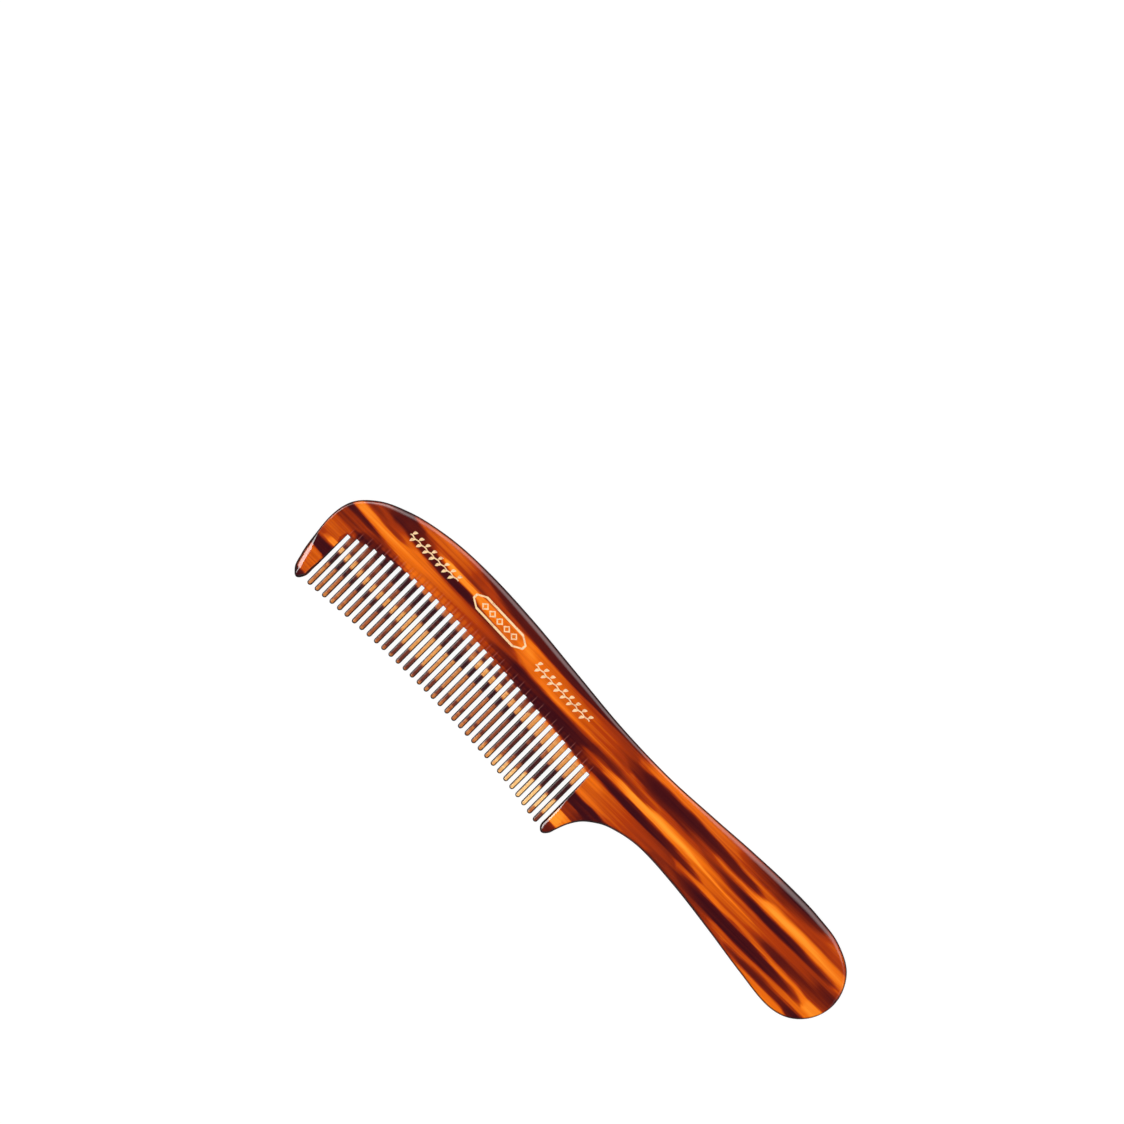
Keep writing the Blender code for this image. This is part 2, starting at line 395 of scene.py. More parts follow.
def comb_outline(teeth):
    """The whole outline, clockwise from the front guard's root, each point with its rim."""
    outline = [(point, back_rim(point)) for point in drawn(BACK_EDGE)[:-1]]
    outline += [(point, lower_rim(point)) for point in drawn(HANDLE_EDGE)[:-1]]
    outline += [(point, rear_guard_rim(point)) for point in drawn(REAR_GUARD, GUARD_SPACING)]
    right = REAR_GUARD_INNER
    draw = 0.0
    slots = []
    for left_side, right_side in reversed(teeth):
        level = root_height((right_side + right) / 2) - SLOT_FILLET
        rising = slot_wall(right, level, outline[-1][0].y, draw)
        if right == REAR_GUARD_INNER:
            rising = [(point, rear_guard_rim(point)) for point, _rim in rising]
        outline += reversed(rising)
        outline += slot_end(right_side, right)
        slots.append((right_side + right) / 2)
        draw = TOOTH_TAPER
        radius = (right_side - left_side) / 2 - TOOTH_TAPER
        middle = (left_side + right_side) / 2
        tip = tip_height(middle)
        outline += slot_wall(right_side, level, tip + radius, -draw)
        end = arc((middle, tip + radius), radius, 0, -180, TIP_ARC_STEPS)
        outline += [(point, TOOTH_RIM) for point in end]
        right = left_side
    level = root_height((FRONT_GUARD_INNER + right) / 2) - SLOT_FILLET
    outline += reversed(slot_wall(right, level, outline[-1][0].y, draw))
    outline += slot_end(FRONT_GUARD_INNER, right)
    slots.append((FRONT_GUARD_INNER + right) / 2)
    falling = slot_wall(FRONT_GUARD_INNER, level, FRONT_GUARD[0][1])
    outline += [(point, front_guard_rim(point)) for point, _rim in falling]
    outline += [(point, front_guard_rim(point)) for point in drawn(FRONT_GUARD, GUARD_SPACING)[:-1]]
    return outline, slots


def rim_profile(rim):
    """How far in and how far up the surface is at each tilt, from the side wall to the face."""
    knee_sine = math.sin(math.radians(KNEE))
    knee_inset = rim.corner * (1 - knee_sine)
    insets = []
    for tilt in TILTS:
        sine = math.sin(math.radians(tilt))
        if tilt >= KNEE:
            insets.append(rim.corner * (1 - sine))
        else:
            rounded = 1 - sine / knee_sine
            share = rounded + (FACET_SHARES[tilt] - rounded) * rim.facet
            insets.append(knee_inset + (rim.width - knee_inset) * share)
    rises = [0.0]
    for index in range(1, len(TILTS)):
        slope = math.tan(math.radians((TILTS[index - 1] + TILTS[index]) / 2))
        rises.append(rises[-1] + (insets[index] - insets[index - 1]) * slope)
    return insets, rises


def inward_normals(points):
    """Mitred normals that point into a clockwise outline."""
    normals = []
    for index, point in enumerate(points):
        before = (point - points[index - 1]).normalized()
        after = (points[(index + 1) % len(points)] - point).normalized()
        first = Vector((before.y, -before.x))
        second = Vector((after.y, -after.x))
        normals.append((first + second) / (1 + first.dot(second)))
    return normals


def rim_rings(outline):
    """Rings of (x, y, height above the middle plane) over the upper rim, from the wall inwards."""
    points = [point for point, _rim in outline]
    profiles = [rim_profile(rim) for _point, rim in outline]
    normals = inward_normals(points)
    rings = []
    for level in range(len(TILTS)):
        ring = []
        for point, normal, (insets, rises) in zip(points, normals, profiles):
            place = point + normal * insets[level]
            height = half_thickness(place.x, place.y) - rises[-1] + rises[level]
            ring.append((place.x, place.y, height))
        rings.append(ring)
    return rings


def inside(loop, x, y):
    """Whether a place is inside a closed loop, given as an array of its points."""
    ahead = np.roll(loop, -1, axis=0)
    crosses = (loop[:, 1] > y) != (ahead[:, 1] > y)
    near, far = loop[crosses], ahead[crosses]
    meets = near[:, 0] + (y - near[:, 1]) * (far[:, 0] - near[:, 0]) / (far[:, 1] - near[:, 1])
    return bool(np.count_nonzero(meets > x) % 2)


def fill_points(loop):
    """Places spread over the broad parts of the face, clear of its rim and of the saw grooves."""
    places = []
    low, high = loop.min(axis=0), loop.max(axis=0)
    for x in np.arange(low[0], high[0], FILL_SPACING):
        for y in np.arange(low[1], high[1], FILL_SPACING):
            over_slots = FRONT_GUARD_INNER - SLOT_ROW_MARGIN < x < REAR_GUARD_INNER + SLOT_ROW_MARGIN
            if over_slots and y < root_height(x) + KITE_TOP + KITE_CLEARANCE:
                continue
            clear = np.hypot(loop[:, 0] - x, loop[:, 1] - y).min() > FILL_SPACING / 3
            if clear and inside(loop, x, y):
                places.append((float(x), float(y), half_thickness(x, y)))
    return places


def kite(slot):
    """The corners of a saw groove and the edges between them, as indices into the corners."""
    base = root_height(slot)
    face = THICKNESS / 2
    corners = [
        (slot, base + KITE_BASE, face),
        (slot - KITE_HALF_WIDTH, base + KITE_SHOULDER, face),
        (slot, base + KITE_TOP, face),
        (slot + KITE_HALF_WIDTH, base + KITE_SHOULDER, face),
        (slot, base + KITE_SHOULDER, face - KITE_DEPTH),
    ]
    return corners, [(0, 1), (1, 2), (2, 3), (3, 0), (0, 4), (4, 2)]


def face_filling(ring, slots):
    """Triangles over the face inside a ring: every corner, the ring's own first, and the triangles."""
    corners = list(ring)
    edges = [(index, (index + 1) % len(ring)) for index in range(len(ring))]
    for slot in slots:
        start = len(corners)
        extra, links = kite(slot)
        corners += extra
        edges += [(start + a, start + b) for a, b in links]
    corners += fill_points(np.array([corner[:2] for corner in ring]))
    flat = [Vector(corner[:2]) for corner in corners]
    made = delaunay_2d_cdt(flat, edges, [], TRIANGLES_INSIDE, MERGE_DISTANCE)
    _places, _edges, triangles, origins, *_rest = made
    source = [found[0] for found in origins]
    return corners, [[source[corner] for corner in triangle] for triangle in triangles]


def new_object(name, mesh, to_frame, material, sharp_angle):
    """An object from a mesh in drawing millimetres, smooth but for edges over the sharp angle."""
    bmesh.ops.recalc_face_normals(mesh, faces=mesh.faces)
    data = bpy.data.meshes.new(name)
    mesh.to_mesh(data)
    mesh.free()
    data.transform(to_frame)
    data.shade_smooth()
    data.set_sharp_from_angle(angle=math.radians(sharp_angle))
    data.materials.append(material)
    piece = bpy.data.objects.new(name, data)
    bpy.context.scene.collection.objects.link(piece)
    return piece


def build_comb(teeth, to_frame, material):
    """The whole comb as one closed mesh."""
    outline, slots = comb_outline(teeth)
    rings = rim_rings(outline)
    corners, triangles = face_filling(rings[-1], slots)
    mesh = bmesh.new()
    inner = {}
    loops = []
    for side in (-1, 1):
        side_loops = [
            [mesh.verts.new((x, y, THICKNESS / 2 + side * height)) for x, y, height in ring]
            for ring in rings
        ]
        inner[side] = list(side_loops[-1])
        inner[side] += [
            mesh.verts.new((x, y, THICKNESS / 2 + side * height))
            for x, y, height in corners[len(rings[-1]):]
        ]
        loops.append(side_loops)
        for triangle in triangles:
            mesh.faces.new([inner[side][corner] for corner in triangle])
    stack = list(reversed(loops[0])) + loops[1]
    count = len(outline)
    for lower, upper in zip(stack, stack[1:]):
        for index in range(count):
            after = (index + 1) % count
            mesh.faces.new((lower[index], lower[after], upper[after], upper[index]))
    return new_object("comb_acetate", mesh, to_frame, material, SHARP_ANGLE)


# ---------------------------------------------------------------- shader nodes
# A streak's centre and half width are stored in a curve node, whose values run from 0 to 1
CENTRE_LOW = 20.0
CENTRE_SPAN = 45.0
HALF_LOW = 1.0
HALF_SPAN = 10.0
SHEET_SOFTENING = 2.0
TOOTH_SOFTENING = 1.3
LONG_TIP = 6.0  # mm over which a free streak narrows to its end
SHORT_TIP = 1.2  # the same where a slot hides the end
BASE_TONE = 0.45
LAYER_SHIFT = 7.3  # between one layer of the noise and the next


def linear(red, green, blue):
    """A colour given in 8-bit sRGB, as the linear colour that shaders take."""
    shares = (channel / 255 for channel in (red, green, blue))
    return (*(s / 12.92 if s <= 0.04045 else ((s + 0.055) / 1.055) ** 2.4 for s in shares), 1.0)


def add_node(tree, kind, inputs=(), **settings):
    """A new node with its settings, and its inputs set to values or linked to sockets."""
    made = tree.nodes.new(kind)
    for name, value in settings.items():
        setattr(made, name, value)
    for key, value in dict(inputs).items():
        if isinstance(value, bpy.types.NodeSocket):
            tree.links.new(value, made.inputs[key])
        else:
            made.inputs[key].default_value = value
    return made


def maths(tree, operation, *values):
    """The result of a math node on sockets or numbers."""
    return add_node(tree, "ShaderNodeMath", dict(enumerate(values)), operation=operation).outputs[0]


def smooth_step(tree, value, start, end):
    """0 at the start, 1 at the end and eased between them; the start may be the higher."""
    inputs = {"Value": value, "From Min": start, "From Max": end}
    return add_node(tree, "ShaderNodeMapRange", inputs, interpolation_type="SMOOTHSTEP").outputs[0]


def blend(tree, share, first, second):
    """A mix of two colours."""
    mix = add_node(tree, "ShaderNodeMix", {0: share, 6: first, 7: second}, data_type="RGBA")
    return mix.outputs[2]


def blend_value(tree, share, first, second):
    """A mix of two values."""
    return maths(tree, "MULTIPLY_ADD", maths(tree, "SUBTRACT", second, first), share, first)


def ramp(tree, value, stops):
    """A colour ramp through evenly spaced 8-bit sRGB colours."""
    made = add_node(tree, "ShaderNodeValToRGB", {0: value})
    elements = made.color_ramp.elements
    for _extra in range(len(stops) - 2):
        elements.new(0.5)
    for index, colour in enumerate(stops):
        elements[index].position = index / (len(stops) - 1)
        elements[index].color = linear(*colour)
    return made.outputs[0]


def drawing_place(tree, to_frame):
    """The shaded point in the drawing's millimetres."""
    place = add_node(tree, "ShaderNodeTexCoord").outputs["Object"]
    inputs = {0: place, 1: to_frame.to_translation()}
    local = add_node(tree, "ShaderNodeVectorMath", inputs, operation="SUBTRACT").outputs[0]
    inputs = {0: local, "Scale": 1 / MM}
    return add_node(tree, "ShaderNodeVectorMath", inputs, operation="SCALE").outputs[0]


def grain(tree, place, scale, layer, detail=2.0):
    """Noise from -1 to 1, with a scale per mm along, across and up."""
    inputs = {0: place, 1: scale, 2: (0.0, 0.0, LAYER_SHIFT * layer)}
    stretched = add_node(tree, "ShaderNodeVectorMath", inputs, operation="MULTIPLY_ADD").outputs[0]
    inputs = {"Vector": stretched, "Scale": 1.0, "Detail": detail}
    noise = add_node(tree, "ShaderNodeTexNoise", inputs).outputs[0]
    return maths(tree, "MULTIPLY_ADD", noise, 2.0, -1.0)


def streak_group():
    """A group that lays one streak over the tone below it."""
    tree = bpy.data.node_groups.new("lay_streak", "ShaderNodeTree")
    for name in ("Tone", "Across", "Place", "Softness", "Tip"):
        tree.interface.new_socket(name, in_out="INPUT", socket_type="NodeSocketFloat")
    tree.interface.new_socket("Profile", in_out="INPUT", socket_type="NodeSocketColor")
    tree.interface.new_socket("Tone", in_out="OUTPUT", socket_type="NodeSocketFloat")
    given = add_node(tree, "NodeGroupInput").outputs
    profile = add_node(tree, "ShaderNodeSeparateColor", {0: given["Profile"]}).outputs
    centre = maths(tree, "MULTIPLY_ADD", profile[0], CENTRE_SPAN, -CENTRE_LOW)
    half = maths(tree, "MULTIPLY_ADD", profile[1], HALF_SPAN, -HALF_LOW)
    off = maths(tree, "ABSOLUTE", maths(tree, "SUBTRACT", given["Across"], centre))
    from_ends = maths(tree, "MINIMUM", given["Place"], maths(tree, "SUBTRACT", 1.0, given["Place"]))
    fullness = smooth_step(tree, from_ends, 0.0, given["Tip"])
    outer = maths(tree, "MULTIPLY", maths(tree, "ADD", half, given["Softness"]), fullness)
    inner = maths(tree, "MULTIPLY_ADD", given["Softness"], -2.0, outer)
    share = smooth_step(tree, off, outer, inner)
    laid = add_node(tree, "ShaderNodeMix", {0: share, 2: given["Tone"], 3: profile[2]}).outputs[0]
    add_node(tree, "NodeGroupOutput", {"Tone": laid})
    return tree


def lay_streak(tree, group, tone, along, across, streak, softening, tip):
    """The tone with one streak laid over it."""
    softness, *stations = streak
    softness *= softening
    start, end = stations[0][0], stations[-1][0]
    inputs = {"Value": along, "From Min": start, "From Max": end}
    place = add_node(tree, "ShaderNodeMapRange", inputs, clamp=False).outputs[0]
    thrice = add_node(tree, "ShaderNodeCombineColor", {0: place, 1: place, 2: place}).outputs[0]
    profile = add_node(tree, "ShaderNodeRGBCurve", {"Color": thrice})
    profile.mapping.extend = "HORIZONTAL"
    for x, low, high, shade in stations:
        half = (high - low) / 2 if high > low else -softness
        values = (((low + high) / 2 + CENTRE_LOW) / CENTRE_SPAN, (half + HALF_LOW) / HALF_SPAN, shade)
        for curve, value in zip(profile.mapping.curves, values):
            if x in (start, end):
                curve.points[0 if x == start else -1].location = ((x - start) / (end - start), value)
            else:
                curve.points.new((x - start) / (end - start), value)
    for curve in profile.mapping.curves:
        for point in curve.points:
            point.handle_type = "AUTO_CLAMPED"
    profile.mapping.update()
    inputs = {
        "Tone": tone,
        "Across": across,
        "Place": place,
        "Softness": softness,
        "Tip": tip / (end - start),
        "Profile": profile.outputs[0],
    }
    return add_node(tree, "ShaderNodeGroup", inputs, node_tree=group).outputs[0]


# ---------------------------------------------------------------- the streaks, painted in order
# Each is its softness in mm, then its stations
BACK_STREAKS = [
    # Clear amber at the head's end, and the red-brown over it
    (0.5, (-8, -3, 4.6, 0.43), (3, -3, 4.6, 0.46), (7.5, -3, 4.4, 0.46), (12, -3, 4.4, 0.5)),
    (0.5, (-8, 1.2, 2.6, 0.4), (4, 1.2, 2.6, 0.41), (7.5, 1.6, 2.4, 0.45)),
    (0.6, (-8, -2.6, -0.4, 0.56), (2, -2.6, -0.3, 0.55), (5, -2.2, -0.6, 0.46)),
    (0.5, (-8, 4.5, 8, 0.68), (5, 4.6, 7.9, 0.7), (10, 4, 7.9, 0.66), (15, 4.5, 8.7, 0.72),
     (20, 5, 8.6, 0.64), (24, 6, 8, 0.5), (28, 6.5, 7.2, 0.4)),
    (0.4, (-6, 6.4, 7.5, 0.63), (5, 6.5, 7.6, 0.64), (11, 6.6, 7.4, 0.62)),
    (0.6, (5.5, 4.8, 5.6, 0.8), (8, 3.5, 5.8, 0.9), (10, 3, 6.3, 0.92), (15, 3, 6.4, 0.93),
     (18, 4, 6.2, 0.88), (21, 5.5, 5.9, 0.75)),
    (0.3, (-4, 8, 9.8, 0.85), (2.5, 7.9, 9.8, 0.92), (5, 8, 9.6, 0.89), (10, 7.9, 9.2, 0.87),
     (13, 8, 8.8, 0.78), (17, 7.9, 8.5, 0.68), (21, 7.6, 8.3, 0.62), (24.5, 7.4, 7.4, 0.5)),
    # The broad amber that runs from the head along the roots
    (0.35, (-3, 9.9, 11.6, 0.3), (3, 9.8, 12, 0.24), (5, 9.7, 12.4, 0.19), (10, 9.3, 12.2, 0.22),
     (15, 8.6, 11.8, 0.22), (20, 8.2, 11.9, 0.24), (25, 7.8, 13.2, 0.29), (30, 5.8, 13, 0.31),
     (35, 5.6, 12.8, 0.35), (40, 5.4, 12.5, 0.4), (45, 5.3, 12.3, 0.45), (50, 5, 12.2, 0.5),
     (55, 5, 12, 0.57), (60, 4.9, 11.9, 0.64), (66, 4.8, 11.3, 0.62), (70, 9, 10.6, 0.5)),
    (0.4, (-1, 10.5, 11.5, 0.2), (5, 10.4, 11.7, 0.13), (10, 10.2, 11.5, 0.16), (15, 9.6, 10.9, 0.15),
     (20, 9.2, 10.8, 0.18), (28, 9.2, 10.6, 0.24), (34, 9.6, 9.9, 0.3)),
    (0.4, (-1, 12.4, 13.6, 0.6), (5, 12.4, 14, 0.71), (8, 12.3, 14.3, 0.69), (12, 12, 13.7, 0.67),
     (16, 11.8, 13.2, 0.67), (20, 11.8, 12.7, 0.55), (24.5, 11.9, 11.9, 0.35)),
    (0.4, (1, 14.2, 15, 0.6), (10, 14, 15.1, 0.58), (15, 13.2, 14.7, 0.57), (20, 12.8, 14.2, 0.42),
     (25, 12.8, 13.3, 0.37), (30, 12.6, 13, 0.36)),
    # The dark maroon under the front mark, ending below the cartouche
    (0.4, (3, 15.4, 16.6, 0.66), (10, 15.1, 17.8, 0.72), (12, 15, 18.6, 0.86), (15, 14.7, 19.8, 0.94),
     (18, 14.5, 18.9, 0.9), (20, 14.2, 18.4, 0.91), (22, 13.9, 18.3, 0.86), (25, 13.4, 17.9, 0.8),
     (28, 13.1, 16.4, 0.86), (32, 12.8, 15.4, 0.92), (38, 12.5, 15.1, 0.97), (43, 12.4, 14.8, 1),
     (47, 12.3, 14, 0.88), (52, 12.1, 13.2, 0.82), (58, 11.9, 12.6, 0.82), (63, 11.8, 12.1, 0.75),
     (66, 11.6, 11.6, 0.5)),
    (0.4, (20, 16.8, 18.3, 0.84), (23, 16.3, 18.2, 0.74), (26, 16.5, 18.1, 0.66), (28, 16.9, 18.1, 0.53),
     (31, 17.5, 18.3, 0.52), (35, 17.3, 18.5, 0.58), (40, 17.1, 18.3, 0.7), (44, 17, 18.1, 0.76),
     (48, 17.3, 18.1, 0.74), (53, 17.2, 17.9, 0.7), (58, 17, 17.6, 0.64), (63, 16.8, 16.8, 0.4)),
    # Amber along the crown of the back
    (0.45, (17, 19.1, 24, 0.62), (20, 18.6, 24, 0.47), (24, 18.2, 24, 0.41), (28, 18.2, 24, 0.38),
     (33, 18.4, 24, 0.4), (38, 18.4, 24, 0.47), (42, 18.3, 24, 0.57), (45, 18.2, 20.4, 0.53),
     (50, 18.1, 19.3, 0.48), (55, 17.9, 18.7, 0.5), (60, 17.4, 18.4, 0.5), (65, 17, 17.7, 0.42)),
    (0.4, (26, 19.4, 20.8, 0.34), (32, 19.4, 20.6, 0.36), (38, 18.8, 19.5, 0.42), (43, 18.6, 18.8, 0.47)),
    (0.25, (28, 16.7, 16.8, 0.4), (31, 15.9, 17.5, 0.15), (35, 15.5, 17.3, 0.11), (40, 15.2, 17, 0.1),
     (44, 14.9, 16.8, 0.13), (50, 14, 16.6, 0.2), (57, 13.5, 16.4, 0.25), (64, 12.9, 16.5, 0.23)),
    (0.4, (37, 21.2, 24, 0.56), (41, 20.8, 24, 0.68), (44, 20.5, 24, 0.74), (47, 20, 24, 0.81),
     (52, 19.2, 24, 0.88), (57, 18.6, 23, 0.87), (60, 18.1, 23, 0.85), (65, 17.4, 22, 0.86),
     (70, 16.9, 22, 0.87), (75, 16.6, 21, 0.9), (80, 16.3, 21, 0.93), (85, 16.1, 20, 0.95),
     (90, 16.4, 20, 0.97), (95, 16.3, 19, 0.93), (100, 16.3, 19, 0.88), (105, 16.3, 18, 0.84),
     (110, 16.3, 16.9, 0.7), (115, 16.3, 16.6, 0.6)),
    # The broad amber behind the cartouche and the rear mark
    (0.35, (52, 13.4, 16.4, 0.3), (57, 12.9, 17, 0.32), (61, 12.5, 17.2, 0.32), (65, 12, 17.3, 0.27),
     (70, 10.7, 16.9, 0.3), (75, 10.3, 16.6, 0.33),
     (80, 10, 16.2, 0.36), (85, 9.8, 16.1, 0.4), (90, 9.7, 16.2, 0.42), (95, 9.6, 16.3, 0.46),
     (100, 9.5, 16.3, 0.5), (105, 9.4, 16.3, 0.57), (109, 9.3, 15.8, 0.58), (113, 9.3, 10.9, 0.5)),
    (0.5, (58, 14.4, 15.4, 0.26), (62, 14, 15.8, 0.22), (66, 13.4, 15.9, 0.17), (69, 13, 15.2, 0.21),
     (74, 13.5, 14.5, 0.3)),
    (0.3, (69, 10.9, 12.2, 0.27), (75, 10.8, 11.9, 0.21), (80, 10.4, 11.5, 0.22), (85, 10.3, 11.3, 0.24),
     (90, 10.2, 11.2, 0.29), (95, 10.1, 11.1, 0.3), (100, 10, 10.9, 0.32), (105, 9.9, 10.8, 0.36),
     (110, 9.8, 10.5, 0.4), (116, 9.4, 10.1, 0.41), (121, 8.9, 9.8, 0.38), (126, 9, 9.5, 0.28)),
    (0.35, (82, 15.6, 16.3, 0.45), (90, 15.2, 16.2, 0.53), (97, 15, 16.2, 0.58), (105, 14.9, 16.2, 0.63),
     (112, 14.9, 15.9, 0.6)),
    (0.5, (98, 13.9, 14.8, 0.52), (104, 13, 14.8, 0.6), (109, 12.2, 14.8, 0.68), (114, 11.4, 14.7, 0.8)),
    # Dark maroon over the rear roots, and its tail down the neck
    (0.4, (53, 8.4, 10, 0.66), (58, 7.8, 10.2, 0.7), (61, 7, 10.3, 0.78), (64, 6, 10.4, 0.87),
     (67, 5, 10.5, 0.97), (70, 4, 10.3, 0.95), (75, 4, 10.1, 0.96), (80, 3, 9.8, 1),
     (85, 3, 9.6, 1), (90, 3, 9.5, 0.98), (95, 3, 9.4, 0.95), (98, 7.3, 9.5, 0.92),
     (102, 7.6, 9.3, 0.88), (106, 7.6, 9.2, 0.84), (110, 7.6, 9.1, 0.75), (115, 7.5, 8.9, 0.68),
     (120, 7.5, 8.6, 0.6), (124, 8, 8.3, 0.4), (127, 8.2, 8.2, 0.3)),
    (0.4, (59, 6.1, 7.8, 0.6), (64, 6, 7.5, 0.68), (68, 5.8, 7.3, 0.8), (72, 5.6, 6.9, 0.9)),
    (0.5, (91, 3, 7.2, 0.88), (95, 3, 7.6, 0.8), (98, 3.4, 7.7, 0.72), (101, 3.8, 7.8, 0.66),
     (104, 5.3, 8, 0.66), (108, 5.6, 8, 0.55)),
]
NECK_STREAKS = [
    # The bright amber that runs down the middle of the handle
    (0.25, (91, 6.4, 6.7, 0.68), (95, 6.1, 6.8, 0.6), (100, 6, 6.9, 0.48),
     (104, 5.9, 7, 0.36), (108, 5.9, 7.3, 0.24), (111, 5.75, 7.5, 0.16), (115, 5.55, 7.4, 0.13),
     (120, 5.4, 7.5, 0.13), (123, 5.3, 7.9, 0.16), (126, 5.1, 8.2, 0.19), (130, 4.9, 8.3, 0.22),
     (135, 4.5, 8.2, 0.25), (140, 4, 8.2, 0.28), (144, 2.6, 8.2, 0.32), (148, 1.9, 8, 0.36),
     (152, 1.6, 7.9, 0.4), (156, 1.4, 7.6, 0.42),
     (160, 1.2, 7.5, 0.43), (165, 1.1, 7.4, 0.45), (170, 0.8, 7.4, 0.48), (175, 0.3, 7.4, 0.52),
     (180, 0, 7.4, 0.56), (185, -0.4, 7.4, 0.6), (191, -0.4, 7.4, 0.62), (202, -0.4, 7.4, 0.62)),
    (0.25, (109, 6.4, 7.3, 0.1), (112, 6.1, 7.3, 0.05), (118, 6.2, 7.2, 0.06), (124, 6.2, 7.3, 0.03),
     (130, 6, 7, 0.01), (136, 5.8, 6.8, 0.01), (142, 5.6, 6.3, 0.03), (148, 5.3, 6, 0.07),
     (154, 5, 5.7, 0.13), (160, 4.9, 5.5, 0.26), (167, 4.8, 5.2, 0.38)),
    (0.35, (95, 4.3, 4.6, 0.8), (100, 4, 5, 0.82), (103, 3.6, 5.2, 0.9), (107, 3.3, 5.2, 0.97),
     (112, 3.1, 5.15, 1), (118, 2.8, 5, 0.99), (124, 2.6, 4.8, 0.94), (130, 2.5, 4.6, 0.9),
     (135, 2.5, 4.2, 0.82), (140, 2.5, 3.9, 0.72), (144, 2.7, 3.5, 0.6), (149, 3, 3, 0.35)),
    (0.3, (97, -3.8, 3.5, 0.4), (105, -3.7, 3.2, 0.41), (110, -3.5, 3, 0.46), (115, -4.5, 2.7, 0.5),
     (120, -4, 2.6, 0.56), (125, -4, 2.6, 0.6), (130, -4, 2.6, 0.63), (135, -4, 2.6, 0.66),
     (140, -4, 2.5, 0.6)),
    (0.5, (97, 0.4, 2.2, 0.3), (106, 0.6, 1.9, 0.3), (111, 0.8, 1.5, 0.37)),
    (0.3, (97, -3.4, -2.2, 0.3), (108, -3.3, -2.2, 0.32), (113, -3.1, -2.3, 0.4), (117, -2.9, -2.6, 0.45)),
]
